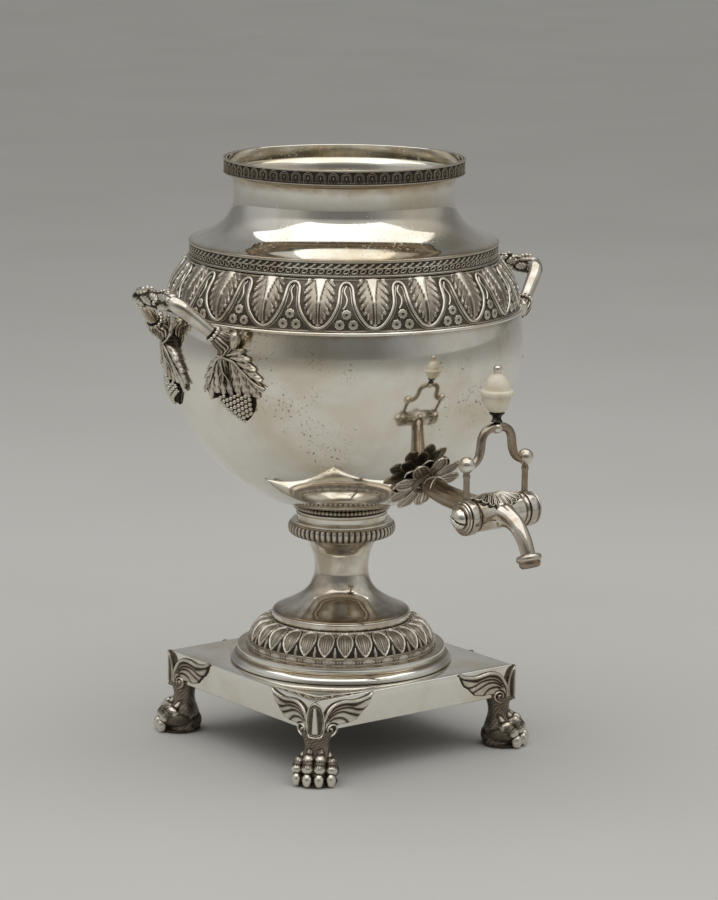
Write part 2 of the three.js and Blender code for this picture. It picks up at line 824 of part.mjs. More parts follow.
function handleCurve() {
  const collar = at3(collarReach, collarSpread, collarLevel);
  const start = collar.clone().addScaledVector(armDirection(), beadCollarWidth / 2 + seatGap);
  const bend = at3(handleReach - crossbarRadius * 0.6, handleSpread, handleLevel - crossbarRadius * 0.4);
  const near = at3(handleReach, handleSpread * 0.5, handleLevel);
  const half = [start, start.clone().lerp(bend, 0.6), bend, near];
  const mirrored = half.map((p) => at3(p.x, -p.y, p.z)).reverse();
  return new THREE.CatmullRomCurve3([...half, at3(handleReach, 0, handleLevel), ...mirrored]);
}

// Place of each leaf on the vine: along the crossbar, up and out from it
const vineLeafShares = [
  [-0.5, 1, 0.4],
  [0, 1.1, 0.1],
  [0.5, 1, 0.4],
  [-0.25, 0.2, 1.1],
  [0.3, 0.1, 1.1],
];

function makeHandle(side, parent) {
  const thickness = (share) => mix(armRadius, crossbarRadius, Math.sin(Math.PI * share));
  piece(`handle_${side}`, bar(handleCurve(), thickness, handleSteps, 7), silver, parent);
}

// Vine leaves and berries over the crossbar
function makeVine(side, parent) {
  const sleeve = crossbarRadius + seatGap + sheetWall;
  const half = handleSpread * 0.82;
  const middle = new THREE.LineCurve3(
    at3(handleReach, -half, handleLevel),
    at3(handleReach, half, handleLevel),
  );
  const shapes = [bar(middle, (share) => sleeve * (0.92 + 0.16 * Math.sin(share * Math.PI)), 4, 8)];
  for (const [across, up, out] of vineLeafShares) {
    const leaf = new THREE.SphereGeometry(sleeve * 0.75, 6, 4);
    leaf.scale(1, 1.5, 0.7);
    leaf.translate(
      handleReach + out * sleeve * 0.6,
      across * handleSpread,
      handleLevel + up * sleeve * 0.6,
    );
    shapes.push(leaf);
  }
  const thickness = (share) => mix(armRadius, crossbarRadius, Math.sin(Math.PI * share)) + seatGap;
  const core = bar(handleCurve(), thickness, handleSteps, 7);
  piece(`handle_${side}_vine`, fromSolid(join(shapes).subtract(toSolid(core))), darkSilver, parent);
}

function makeBeadCollar(name, sign, parent) {
  const half = beadCollarWidth / 2;
  const outline = [
    [at2(armRadius, -half), 0],
    [at2(beadCollarRadius, 0), 1],
    [at2(armRadius, half), 0],
  ];
  const rings = [];
  const columns = 12;
  for (const [point, depth] of outline) {
    const ring = [];
    for (let i = 0; i < columns; i++) {
      const angle = (i / columns) * 2 * Math.PI;
      const radius = point.x - depth * beadingRelief * (i % 2);
      ring.push(at3(radius * Math.cos(angle), radius * Math.sin(angle), point.y));
    }
    rings.push(ring);
  }
  const collar = piece(name, loft(rings), darkSilver, parent);
  const direction = armDirection();
  direction.y *= sign;
  collar.quaternion.setFromUnitVectors(at3(0, 0, 1), direction);
  collar.position.set(collarReach, sign * collarSpread, collarLevel);
}

// A vine leaf with its grapes on the bowl, and the calyx that rises from it to the collar
const leafReach = 27;
const bunchRadius = 9.5;
const bunchLength = 18;
const bunchShares = [0.5, 1, 0.86, 0.6, 0.25];
const bunchDepth = 0.6;
const leafLobeShares = [0.9, 0.8, 1, 0.82, 1.02, 0.72, 0.8, 0.34];

function leafRadiusAt(angle) {
  const place = (Math.abs(angle) / Math.PI) * (leafLobeShares.length - 1);
  const low = Math.floor(Math.min(place, leafLobeShares.length - 2));
  return leafReach * mix(leafLobeShares[low], leafLobeShares[low + 1], place - low);
}

function makeMount(name, sign, parent, block) {
  const start = bowlLengthAt(mountLevel);
  const angle = sign * mountAngle;
  const around = 2 * (leafLobeShares.length - 1);
  const ringAt = (share, lift) => {
    const ring = [];
    for (let i = 0; i < around; i++) {
      const turn = (i / around) * 2 * Math.PI - Math.PI;
      const radius = leafRadiusAt(turn) * share;
      ring.push(onBowl(angle, start, radius * Math.sin(turn), -radius * Math.cos(turn), lift));
    }
    return ring;
  };
  const shapes = [
    loft([
      ringAt(0.5, 0),
      ringAt(1, 0),
      ringAt(0.98, castWall),
      ringAt(0.6, castWall * 1.9),
    ]),
  ];
  const grapes = bunchShares.map((share, row) => {
    const ring = [];
    for (let i = 0; i < 10; i++) {
      const turn = (i / 10) * 2 * Math.PI;
      const radius = bunchRadius * share * ((i + row) % 2 ? 0.78 : 1);
      const down = leafReach * 0.72 + (row / (bunchShares.length - 1)) * bunchLength;
      ring.push(onBowl(angle, start, radius * Math.sin(turn), -down, radius * Math.cos(turn) * bunchDepth));
    }
    return ring;
  });
  shapes.push(loft(grapes));
  const direction = armDirection();
  direction.y *= sign;
  const collar = at3(collarReach, sign * collarSpread, collarLevel);
  const top = collar.addScaledVector(direction, -(beadCollarWidth / 2 + seatGap));
  const root = onBowl(angle, start, 0, leafReach * 0.16, 0);
  const elbow = top.clone().addScaledVector(direction, -armRadius * 1.6);
  const calyx = new THREE.QuadraticBezierCurve3(top, elbow, root);
  shapes.push(bar(calyx, (share) => armRadius * (1.1 + 1.1 * share), 4));
  piece(name, fromSolid(join(shapes).subtract(block)), darkSilver, parent);
}

function makeHandles(block) {
  for (const [side, turn] of [
    ["right", 0],
    ["left", Math.PI],
  ]) {
    const parent = group();
    parent.rotation.z = turn;
    makeHandle(side, parent);
    makeVine(side, parent);
    for (const sign of [-1, 1]) {
      const end = (side === "right") === sign > 0 ? "back" : "front";
      makeBeadCollar(`handle_${side}_${end}_collar`, sign, parent);
      makeMount(`handle_${side}_${end}_leaf`, sign, parent, block);
    }
  }
}

// The rosette of pointed leaves where the tap leaves the bowl
const rosetteRadius = 25;
const rosetteInner = 12;
const rosetteLeaves = 9;
const rosetteLift = 5.5;

function makeRosette() {
  const start = bowlLengthAt(tapInletLevel);
  const columns = rosetteLeaves * 2;
  const section = [
    [0, 0],
    [1, 0],
    [1, 0.4],
    [0, 1],
  ];
  const plate = ringGrid(columns, section.length, (i, j) => {
    const angle = (i / columns) * 2 * Math.PI;
    const wave = Math.abs(Math.cos((angle * rosetteLeaves) / 2));
    const tip = mix(rosetteInner, rosetteRadius, wave);
    const [out, lift] = section[j];
    const radius = mix(tubeRadius * 0.8, tip, out);
    const across = radius * Math.cos(angle);
    return onBowl(-Math.PI / 2, start, across, radius * Math.sin(angle), lift * rosetteLift);
  });
  const clear = toSolid(plate).subtract(bowlBlock()).subtract(toSolid(inletTube(seatGap)));
  piece("tap_rosette", fromSolid(clear), darkSilver);
}

// The tap: barrel across, spout in front, plug, yoke and knob, made round the lever's pivot
const barrelRadius = 9.7;
const barrelHalf = 20;
const plugRadius = 6.2;
const runningGap = 0.09;
const portRadius = 3;
const spoutRadius = 4.6;
const spoutBore = 3.1;
const lipRadius = 8;
const lipHeight = 7;
const eyeRadius = 11;
const eyeWidth = 5;
const washerRadius = 9.3;
const washerWidth = 2.6;
const tangSide = 6.6;
const screwRadius = 7;
const screwDome = 4.6;
const shankRadius = 1.8;
const shankLength = 9;
const slotWidth = 1.1;
const slotDepth = 1.4;

// The spout's centre line from the barrel, in front and below the pivot
const spoutFall = 21;
const spoutReach = 32;
const lipTilt = THREE.MathUtils.degToRad(12);

function spoutCurve() {
  const end = at3(0, -spoutReach, -spoutFall);
  const down = at3(0, -Math.sin(lipTilt), -Math.cos(lipTilt));
  return new THREE.CubicBezierCurve3(
    at3(0, 0, 0),
    at3(0, -spoutReach * 0.55, spoutFall * 0.1),
    end.clone().addScaledVector(down, -spoutFall * 0.62),
    end,
  );
}

function alongX(radius, half, steps) {
  const cylinder = new THREE.CylinderGeometry(radius, radius, half * 2, steps);
  cylinder.rotateZ(Math.PI / 2);
  return cylinder;
}

function makeTapBody(parent) {
  const tube = inletTube(0);
  tube.translate(-tapPivot.x, -tapPivot.y, -tapPivot.z);
  const spout = spoutCurve();
  const mouth = spout.getPointAt(1);
  const down = spout.getTangentAt(1);
  const lipStart = mouth.clone().addScaledVector(down, -lipHeight * 0.2);
  const outletEnd = mouth.clone().addScaledVector(down, lipHeight);
  const lip = new THREE.LineCurve3(lipStart, outletEnd);
  const lipShares = [(spoutRadius / lipRadius) * 0.85, 1, 0.97, 0.8];
  const outside = join([
    tube,
    alongX(barrelRadius, barrelHalf, stemSteps),
    bar(spout, (share) => spoutRadius * (1.25 - 0.25 * Math.min(1, share * 2)), 7, 10),
    bar(lip, (share) => lipRadius * lipShares[Math.round(share * 3)], 3, 12),
  ]);
  const inletEnd = tubeStart.clone().sub(tapPivot).addScaledVector(tapDirection, -overrun);
  const inlet = new THREE.LineCurve3(inletEnd, at3(0, 0, 0));
  const outlet = new THREE.LineCurve3(mouth, outletEnd.clone().addScaledVector(down, seatGap));
  const bores = join([
    bar(inlet, () => tubeBore, 1, 8),
    alongX(plugRadius + runningGap, barrelHalf + overrun, stemSteps),
    bar(spout, () => spoutBore, 7, 8),
    bar(outlet, (share) => mix(spoutBore * 1.25, lipRadius * 0.62, share), 1, 10),
  ]);
  piece("tap_body", fromSolid(outside.subtract(bores)), silver, parent);
}

// The shell over the barrel: ribs fan out over a saddle-shaped plate
const shellLength = 17;
const shellTurn = THREE.MathUtils.degToRad(50);
const shellRise = 3;

function makeShell(parent) {
  const inner = barrelRadius + seatGap;
  const columns = 16;
  const rings = [];
  for (const [share, lift] of [
    [0.4, 0],
    [1, 0],
    [0.95, 0.45],
    [0.5, 1],
  ]) {
    const ring = [];
    for (let i = 0; i < columns; i++) {
      const angle = (i / columns) * 2 * Math.PI;
      const scallop = 1 - 0.1 * (i % 2);
      const turn = Math.PI / 2 + shellTurn * share * scallop * Math.sin(angle);
      const radius = inner + shellRise * lift;
      const along = shellLength * share * scallop * Math.cos(angle);
      ring.push(at3(along, radius * Math.cos(turn), radius * Math.sin(turn)));
    }
    rings.push(ring);
  }
  const saddle = toSolid(alongX(inner, barrelHalf, stemSteps));
  const tube = inletTube(seatGap);
  tube.translate(-tapPivot.x, -tapPivot.y, -tapPivot.z);
  const shell = toSolid(loft(rings)).subtract(saddle).subtract(toSolid(tube));
  piece("tap_shell", fromSolid(shell), darkSilver, parent);
}

function makePlug(parent) {
  const core = alongX(plugRadius, barrelHalf, stemSteps);
  const tangHalf = barrelHalf + seatGap + eyeWidth + washerWidth;
  const tang = new THREE.BoxGeometry(tangHalf * 2, tangSide, tangSide);
  const port = new THREE.CylinderGeometry(portRadius, portRadius, plugRadius * 2 + overrun, 12);
  port.rotateX(Math.PI / 2);
  const screwHole = alongX(shankRadius + seatGap, shankLength, 12);
  screwHole.translate(-tangHalf, 0, 0);
  const plug = join([core, tang]).subtract(toSolid(port)).subtract(toSolid(screwHole));
  piece("tap_plug", fromSolid(plug), silver, parent);
}

// The yoke: an eye on each end of the plug, posts, balls and a bow that meets in the hub
const postLean = 0.2;
const postSpread = barrelHalf + seatGap + eyeWidth / 2 + postLean;
const postRadius = 1.9;
const ballLevel = 32.5;
const ballRadius = 5.1;
const bowRadius = 2.7;
const bowSpread = 9.5;
const hubLevel = 53;
const hubRadius = 3.6;
const spindleRadius = 1.4;

function yokeShapes() {
  const shapes = [];
  for (const side of [-1, 1]) {
    const eyeMiddle = side * (barrelHalf + seatGap + eyeWidth / 2);
    const eye = alongX(eyeRadius, eyeWidth / 2, smallSteps);
    eye.translate(eyeMiddle, 0, 0);
    const foot = at3(eyeMiddle, 0, eyeRadius * 0.8);
    const ball = at3(side * postSpread, 0, ballLevel);
    const sphere = new THREE.SphereGeometry(ballRadius, 8, 6);
    sphere.rotateX(Math.PI / 2);
    sphere.translate(ball.x, ball.y, ball.z);
    const bow = new THREE.CatmullRomCurve3([
      ball.clone(),
      at3(side * mix(bowSpread, postSpread, 0.45), 0, ballLevel + bowRadius * 0.3),
      at3(side * bowSpread * 1.12, 0, mix(ballLevel, hubLevel, 0.35)),
      at3(side * bowSpread, 0, mix(ballLevel, hubLevel, 0.72)),
      at3(side * bowSpread * 0.5, 0, hubLevel + bowRadius * 0.2),
      at3(0, 0, hubLevel),
    ]);
    shapes.push(eye, bar(new THREE.LineCurve3(foot, ball), () => postRadius, 1), sphere);
    shapes.push(bar(bow, () => bowRadius, 8));
  }
  return shapes;
}

// The knob's pieces stack up from the hub, with the spindle through them
const ferruleHeight = 6.2;
const ferruleRadius = 4.7;
const ferruleWaist = 2.7;
const knobHeight = 24;
const knobRadius = 10.2;
const knobCupRadius = 8.6;
const knobFootRadius = 4.6;
const finialRadius = 2.4;

const ferruleLevel = hubLevel + hubRadius;
const knobLevel = ferruleLevel + ferruleHeight + seatGap;
const finialLevel = knobLevel + knobHeight + finialRadius * 0.9 + seatGap;

function makeYoke(parent) {
  const hub = new THREE.SphereGeometry(hubRadius, 8, 6);
  hub.rotateX(Math.PI / 2);
  hub.translate(0, 0, hubLevel);
  const spindleEnd = at3(0, 0, finialLevel);
  const spindle = bar(new THREE.LineCurve3(at3(0, 0, hubLevel), spindleEnd), () => spindleRadius, 1);
  const reach = (barrelHalf + eyeWidth) * 2 + overrun;
  const square = new THREE.BoxGeometry(reach, tangSide + 2 * seatGap, tangSide + 2 * seatGap);
  const yoke = join([...yokeShapes(), hub, spindle]).subtract(toSolid(square));
  piece("tap_yoke", fromSolid(yoke), silver, parent);
}

function makeWashers(parent) {
  for (const [name, side] of [
    ["tap_washer_left", -1],
    ["tap_washer_right", 1],
  ]) {
    const width = side > 0 ? washerWidth + screwDome * 0.5 : washerWidth - seatGap * 2;
    const disc = new THREE.CylinderGeometry(
      side > 0 ? washerRadius * 0.7 : washerRadius,
      washerRadius,
      width,
      smallSteps,
    );
    disc.rotateZ(-Math.PI / 2);
    disc.translate(side * (barrelHalf + seatGap * 2 + eyeWidth + width / 2), 0, 0);
    const square = new THREE.BoxGeometry(
      2 * (barrelHalf + eyeWidth + washerWidth) + seatGap * 4,
      tangSide + 2 * seatGap,
      tangSide + 2 * seatGap,
    );
    piece(name, fromSolid(toSolid(disc).subtract(toSolid(square))), silver, parent);
  }
}

// The slotted dome that holds the plug at the left
function makeScrew(parent) {
  const outline = [at2(0, 0), at2(screwRadius, 0)];
  for (const share of [0.35, 0.7]) {
    const angle = (share * Math.PI) / 2;
    outline.push(at2(screwRadius * Math.cos(angle), screwDome * Math.sin(angle)));
  }
  outline.push(at2(0, screwDome));
  const dome = revolve(outline, smallSteps);
  dome.rotateY(-Math.PI / 2);
  const face = -(barrelHalf + eyeWidth + washerWidth + seatGap * 2);
  dome.translate(face, 0, 0);
  const shank = alongX(shankRadius, shankLength / 2, 12);
  shank.translate(face + shankLength / 2 - overrun / 5, 0, 0);
  const slot = new THREE.BoxGeometry(slotDepth * 2, screwRadius * 2 + overrun, slotWidth);
  slot.rotateX(-Math.PI / 7);
  slot.translate(face - screwDome, 0, 0);
  piece("plug_screw", fromSolid(join([dome, shank]).subtract(toSolid(slot))), silver, parent);
}

function spindleHole(height) {
  const hole = new THREE.CylinderGeometry(spindleRadius + seatGap, spindleRadius + seatGap, height, 8);
  hole.rotateX(Math.PI / 2);
  return toSolid(hole);
}

function makeKnob(parent) {
  const ferrule = revolve(
    [
      at2(0, 0),
      at2(ferruleRadius * 0.75, 0),
      at2(ferruleWaist, ferruleHeight * 0.3),
      at2(ferruleWaist * 1.1, ferruleHeight * 0.6),
      at2(ferruleRadius, ferruleHeight * 0.9),
      at2(ferruleRadius, ferruleHeight),
      at2(0, ferruleHeight),
    ],
    12,
  );
  const ferruleMesh = fromSolid(toSolid(ferrule).subtract(spindleHole(knobHeight)));
  piece("knob_ferrule", ferruleMesh, darkMetal, parent).position.z = ferruleLevel;
  // Foot, cup, ring and egg of the turned knob, as shares of its radius and height
  const knobShares = [
    [0, 0],
    [knobFootRadius / knobRadius, 0],
    [knobCupRadius / knobRadius * 0.93, 0.2],
    [knobCupRadius / knobRadius, 0.4],
    [0.97, 0.42],
    [1, 0.475],
    [0.8, 0.56],
    [0.73, 0.72],
    [0.56, 0.88],
    [0.34, 0.97],
    [0, 1],
  ];
  const knob = revolve(knobShares.map(([out, up]) => at2(out * knobRadius, up * knobHeight)), smallSteps);
  const knobMesh = fromSolid(toSolid(knob).subtract(spindleHole(knobHeight * 3)));
  piece("tap_knob", knobMesh, ivory, parent).position.z = knobLevel;
  const ball = new THREE.SphereGeometry(finialRadius, 8, 6);
  ball.rotateX(Math.PI / 2);
  const collar = new THREE.CylinderGeometry(finialRadius * 0.8, finialRadius, finialRadius, 8);
  collar.rotateX(Math.PI / 2);
  collar.translate(0, 0, -finialRadius * 0.4);
  const hole = spindleHole(finialRadius * 2).translate([0, 0, -finialRadius + seatGap]);
  const finial = fromSolid(join([ball, collar]).subtract(hole));
  piece("knob_finial", finial, silver, parent).position.z = finialLevel;
}

function makeTap() {
  makeRosette();
  const tap = group();
  tap.position.copy(tapPivot);
  makeTapBody(tap);
  makeShell(tap);
  makePlug(tap);
  makeYoke(tap);
  makeWashers(tap);
  makeScrew(tap);
  makeKnob(tap);
}

makeNeck();
makeRimBand();
makeShoulderBand();
makeLeafBand();
makeWire();
makeBowl();
makeBowlBeading();
makeCollar();
makeGadroonRing();
makeStem();
makeStemRing();
makeDome();
makeBeadReel();
makeSteps();
makePlinth();
makeFeet();
makeHandles(bowlBlock());
makeTap();

// The part's origin is the middle of the floor that it covers, under its bounding box
const reach = new THREE.Box3().setFromObject(urn, true);
urn.position.set(-(reach.min.x + reach.max.x) / 2, -(reach.min.y + reach.max.y) / 2, 0);
const part = new THREE.Group();
part.add(urn);

export default part;
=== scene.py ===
# Silver tea urn: turned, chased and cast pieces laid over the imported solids.
# Shapes are worked out in millimetres and become metres when they turn into meshes.
import math
import bpy
import numpy as np
from mathutils import Matrix, Vector


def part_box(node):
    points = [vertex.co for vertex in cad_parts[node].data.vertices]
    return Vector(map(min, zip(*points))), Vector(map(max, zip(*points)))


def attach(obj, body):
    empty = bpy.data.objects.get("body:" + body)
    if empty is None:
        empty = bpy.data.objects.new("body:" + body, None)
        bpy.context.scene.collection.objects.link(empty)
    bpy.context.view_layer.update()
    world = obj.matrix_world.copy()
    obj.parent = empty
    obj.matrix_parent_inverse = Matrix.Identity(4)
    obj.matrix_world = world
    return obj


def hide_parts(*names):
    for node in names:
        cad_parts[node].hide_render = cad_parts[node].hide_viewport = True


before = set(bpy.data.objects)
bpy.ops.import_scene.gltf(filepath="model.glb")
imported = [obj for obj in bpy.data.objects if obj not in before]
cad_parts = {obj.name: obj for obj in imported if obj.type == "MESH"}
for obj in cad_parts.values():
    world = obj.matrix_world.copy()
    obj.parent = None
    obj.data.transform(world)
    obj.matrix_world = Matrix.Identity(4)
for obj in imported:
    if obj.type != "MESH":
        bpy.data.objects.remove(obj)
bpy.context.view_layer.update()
mm = 0.001
bowlLow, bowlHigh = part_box("bowl")
axisY = (bowlLow.y + bowlHigh.y) / 2 / mm  # the urn's own axis stands behind the part's origin

# Camera: the photograph's viewing angle, measured from the urn's axis
cameraLook = {
    "distance": 2200, "height": 629.35, "turn": 36.985, "down": 0.1967,
    "aside": 0.00489, "tilt": 0.00837, "lens": 139.37,
}


def makeCamera(look):
    turn = math.radians(look["turn"])
    swing = Matrix.Rotation(-turn, 3, "Z")
    cosDown, sinDown = math.cos(look["down"]), math.sin(look["down"])
    cosAside, sinAside = math.cos(look["aside"]), math.sin(look["aside"])
    forward = Vector((sinAside * cosDown, cosAside * cosDown, -sinDown))
    right = Vector((cosAside, -sinAside, 0))
    up = right.cross(forward)
    cosTilt, sinTilt = math.cos(look["tilt"]), math.sin(look["tilt"])
    right, up = right * cosTilt + up * sinTilt, up * cosTilt - right * sinTilt
    place = swing @ Vector((0, -look["distance"], look["height"])) + Vector((0, axisY, 0))
    turned = Matrix((swing @ right, swing @ up, -(swing @ forward))).transposed()
    data = bpy.data.cameras.new("photoCamera")
    data.lens = look["lens"]
    data.sensor_width = 36
    data.clip_start, data.clip_end = 0.05, 60
    camera = bpy.data.objects.new("photoCamera", data)
    camera.matrix_world = Matrix.Translation(place * mm) @ turned.to_4x4()
    bpy.context.scene.collection.objects.link(camera)
    bpy.context.scene.camera = camera


makeCamera(cameraLook)
print("camera set")


# Lines, rings and grids of points, all as whole arrays

def smoothPath(points, steps):
    # Cubic spans through all the points: the slope at each is half the step between its neighbours
    p = np.asarray(points, float)
    ends = np.vstack([2 * p[0] - p[1], p, 2 * p[-1] - p[-2]])
    t = np.linspace(0, len(p) - 1, steps)
    i = np.minimum(t.astype(int), len(p) - 2)
    f = (t - i)[:, None]
    a, b, c, d = ends[i], ends[i + 1], ends[i + 2], ends[i + 3]
    return 0.5 * (2 * b + (c - a) * f + (2 * a - 5 * b + 4 * c - d) * f**2 + (3 * b - a - 3 * c + d) * f**3)


def evenPath(points, steps):
    # The same line with its points at equal distances along it
    fine = smoothPath(points, steps * 8)
    along = np.r_[0, np.cumsum(np.linalg.norm(np.diff(fine, axis=0), axis=1))]
    wanted = np.linspace(0, along[-1], steps)
    return np.stack([np.interp(wanted, along, fine[:, k]) for k in range(fine.shape[1])], -1)


def smoothValues(values, steps):
    return smoothPath(np.array(values)[:, None], steps)[:, 0]


def graded(steps, stops, values):
    # Numbers that change over a piece's length, given at stops from 0 to 1
    return np.interp(np.linspace(0, 1, steps), stops, values)


def mirroredLine(half):
    # A line drawn up to the middle goes on as its own mirror image; a point on the middle isn't doubled
    half = np.array(half)
    back = (half * (-1, 1))[::-1]
    return np.vstack([half, back[int(half[-1, 0] == 0):]])


def unit(v):
    return v / np.maximum(np.linalg.norm(v, axis=-1, keepdims=True), 1e-12)


def fullTurn(count):
    return np.linspace(0, 2 * np.pi, count, endpoint=False)


def columnPlaces(count):
    # Middles of equal columns across a tile that is one wide
    return (np.arange(count) + 0.5) / count - 0.5


def limited(value):
    return np.clip(value, 0, 1)


def highest(height, *others):
    # The upper one of several reliefs at each place
    for other in others:
        height = np.maximum(height, other)
    return height


def makeShape(points, quads, tris, depth):
    # Faces are turned outwards: the volume summed from all corners has to be positive
    corners = np.vstack([quads[:, [0, 1, 2]], quads[:, [0, 2, 3]], tris])
    a, b, c = points[corners[:, 0]], points[corners[:, 1]], points[corners[:, 2]]
    middle = points.mean(0)
    if np.einsum("ij,ij->", a - middle, np.cross(b - middle, c - middle)) < 0:
        quads, tris = quads[:, ::-1], tris[:, ::-1]
    return {"points": points, "quads": quads, "tris": tris, "depth": depth}


def gridShape(grid, along=False, start=None, end=None, depth=0.0):
    # Rows of rings: squares between neighbours, and a fan to a middle point at each closed end
    rows, columns = grid.shape[:2]
    index = np.arange(rows * columns).reshape(rows, columns)
    index = np.hstack([index, index[:, :1]])
    if along:
        index = np.vstack([index, index[:1]])
    quads = np.stack([index[:-1, :-1], index[:-1, 1:], index[1:, 1:], index[1:, :-1]], -1).reshape(-1, 4)
    points = grid.reshape(-1, 3)
    shadeDepths = np.broadcast_to(np.asarray(depth, float), (rows, columns)).reshape(-1)
    tris = np.zeros((0, 3), int)
    if not along:
        first = grid[0].mean(0) if start is None else np.asarray(start, float)
        last = grid[-1].mean(0) if end is None else np.asarray(end, float)
        n = len(points)
        points = np.vstack([points, first, last])
        shadeDepths = np.r_[shadeDepths, shadeDepths[0], shadeDepths[-1]]
        low, high = index[0], index[rows - 1]
        tris = np.vstack([
            np.stack([np.full(columns, n), low[1:], low[:-1]], -1),
            np.stack([np.full(columns, n + 1), high[:-1], high[1:]], -1),
        ])
    return makeShape(points, quads, tris, shadeDepths)


def joinShapes(shapes):
    starts = np.r_[0, np.cumsum([len(s["points"]) for s in shapes])][:-1]
    return {
        "points": np.vstack([s["points"] for s in shapes]),
        "quads": np.vstack([s["quads"] + n for s, n in zip(shapes, starts)]),
        "tris": np.vstack([s["tris"] + n for s, n in zip(shapes, starts)]),
        "depth": np.concatenate([s["depth"] for s in shapes]),
    }


def aroundUrn(radius, angle, level):
    radius, angle, level = np.broadcast_arrays(radius, angle, level)
    return np.stack([radius * np.cos(angle), radius * np.sin(angle) + axisY, level], -1)


def lineNormals(line):
    # Outward side of a section line that runs from top to bottom
    slope = unit(np.gradient(line, axis=0))
    return np.stack([-slope[:, 1], slope[:, 0]], -1)


def alongLine(where, run, line):
    # Radius, level and outward normal at distances along a section line
    return [np.interp(where, run, a) for a in np.hstack([line, lineNormals(line)]).T]


def turnedShape(line, columns, depth=0.0, closed=True):
    # A section (radius, level) turned round the urn's axis, closed on itself or from axis to axis
    line = np.asarray(line, float)
    angle = fullTurn(columns)
    depth = np.asarray(depth, float)
    depth = depth[:, None] if depth.ndim else depth
    if closed:
        return gridShape(aroundUrn(line[:, :1], angle, line[:, 1:]), along=True, depth=depth)
    inner = line[1:-1]
    depth = depth[1:-1] if depth.ndim else depth
    return gridShape(
        aroundUrn(inner[:, :1], angle, inner[:, 1:]),
        start=(0, axisY, line[0, 1]), end=(0, axisY, line[-1, 1]), depth=depth,
    )


def carvedShape(line, relief, copies, turn, inside, full, places=None):
    # A turned band pressed in along its own normal by a tile of depths that is repeated round it
    normals = lineNormals(line)
    pressed = np.tile(relief, (1, copies))
    columns = pressed.shape[1]
    if places is None:
        places = columnPlaces(relief.shape[1])
    angle = math.radians(turn) + (np.arange(copies)[:, None] + places).ravel() * 2 * np.pi / copies
    outer = aroundUrn(line[:, :1] - pressed * normals[:, :1], angle, line[:, 1:] - pressed * normals[:, 1:])
    inside = np.asarray(inside, float)
    inner = aroundUrn(inside[:, :1], angle, inside[:, 1:])
    # The hidden inner faces get a middling painted shade
    depth = np.vstack([pressed / full, np.full((len(inside), columns), 0.6)])
    return gridShape(np.vstack([outer, inner]), along=True, depth=depth)


def tubeShape(path, radii, sides, up, depth=0.0, relief=None):
    # Rings square to the path, whose direction crossed with a fixed up gives their first axis
    path = np.asarray(path, float)
    ahead = unit(np.gradient(path, axis=0))
    across = unit(np.cross(ahead, np.asarray(up, float)))
    over = np.cross(across, ahead)
    angle = fullTurn(sides)
    radius = np.broadcast_to(np.asarray(radii, float), (len(path),))[:, None] * np.ones(sides)
    if relief is not None:
        radius = radius + relief
    ring = (
        across[:, None] * (radius * np.cos(angle))[..., None]
        + over[:, None] * (radius * np.sin(angle))[..., None]
    )
    return gridShape(path[:, None] + ring, depth=depth)


def spunShape(base, direction, line, columns=32, up=(0, 0, 1), depth=0.0):
    # A section (distance along, radius) spun round any straight axis, closed at both ends
    line = np.asarray(line, float)
    direction = unit(np.asarray(direction, float))
    path = np.asarray(base, float) + line[:, :1] * direction
    across = unit(np.cross(direction, np.asarray(up, float)))
    over = np.cross(across, direction)
    angle = fullTurn(columns)
    ring = across * np.cos(angle)[:, None] + over * np.sin(angle)[:, None]
    depth = np.asarray(depth, float)
    depth = depth[:, None] if depth.ndim else depth
    return gridShape(path[:, None] + line[:, 1, None, None] * ring, depth=depth)


def ballShapes(centres, radii, columns, rows, depth=0.0):
    # Many small balls at once: one ring grid copied to every centre, each scaled to its radius
    centres = np.asarray(centres, float).reshape(-1, 3)
    radii = np.broadcast_to(np.asarray(radii, float), (len(centres),))
    fall = np.linspace(0, np.pi, rows + 2)[1:-1]
    turn = fullTurn(columns)
    ring = np.stack([
        np.sin(fall)[:, None] * np.cos(turn),
        np.sin(fall)[:, None] * np.sin(turn),
        np.cos(fall)[:, None] * np.ones(columns),
    ], -1)
    one = gridShape(ring, start=(0, 0, 1), end=(0, 0, -1))
    count, size = len(centres), len(one["points"])
    points = centres[:, None] + one["points"] * radii[:, None, None]
    shift = (np.arange(count) * size)[:, None, None]
    return {
        "points": points.reshape(-1, 3),
        "quads": (one["quads"] + shift).reshape(-1, 4),
        "tris": (one["tris"] + shift).reshape(-1, 3),
        "depth": np.full(count * size, float(depth)),
    }


def leafShape(spine, normal, halfWidths, across, relief, thick, depth, cup=0.0):
    # A cast leaf: half widths to both sides of its spine, its front raised and its back a thickness below
    ahead = unit(np.gradient(spine, axis=0))
    side = unit(np.cross(ahead, normal))
    normal = np.cross(side, ahead)
    u, v = np.linspace(0, 1, len(spine))[:, None], np.linspace(-1, 1, across)
    out = halfWidths[:, None] * v
    height = cup * halfWidths[:, None] * v**2 + relief(u, v)
    front = spine[:, None] + side[:, None] * out[..., None] + normal[:, None] * height[..., None]
    back = front - normal[:, None] * thick
    shade = depth(u, v) * np.ones(out.shape)
    ring = np.concatenate([front, back[:, ::-1]], 1)
    # The back gets painted shade
    return gridShape(ring, depth=np.concatenate([shade, np.full(shade.shape, 0.4)], 1))


# Drawing in relief: distances to lines, outlines, and plates laid on any surface

def ridge(distance, half):
    # A rounded rib: one at its line, falling to nothing at half its width
    return limited(1 - (distance / half) ** 2)


def lineDistance(x, y, line):
    # Shortest way from each place to any span of a line of points
    line = np.asarray(line, float)
    a, run = line[:-1], np.diff(line, axis=0)
    px, py = x[..., None] - a[:, 0], y[..., None] - a[:, 1]
    f = limited((px * run[:, 0] + py * run[:, 1]) / np.maximum((run**2).sum(1), 1e-9))
    return np.hypot(px - f * run[:, 0], py - f * run[:, 1]).min(-1)


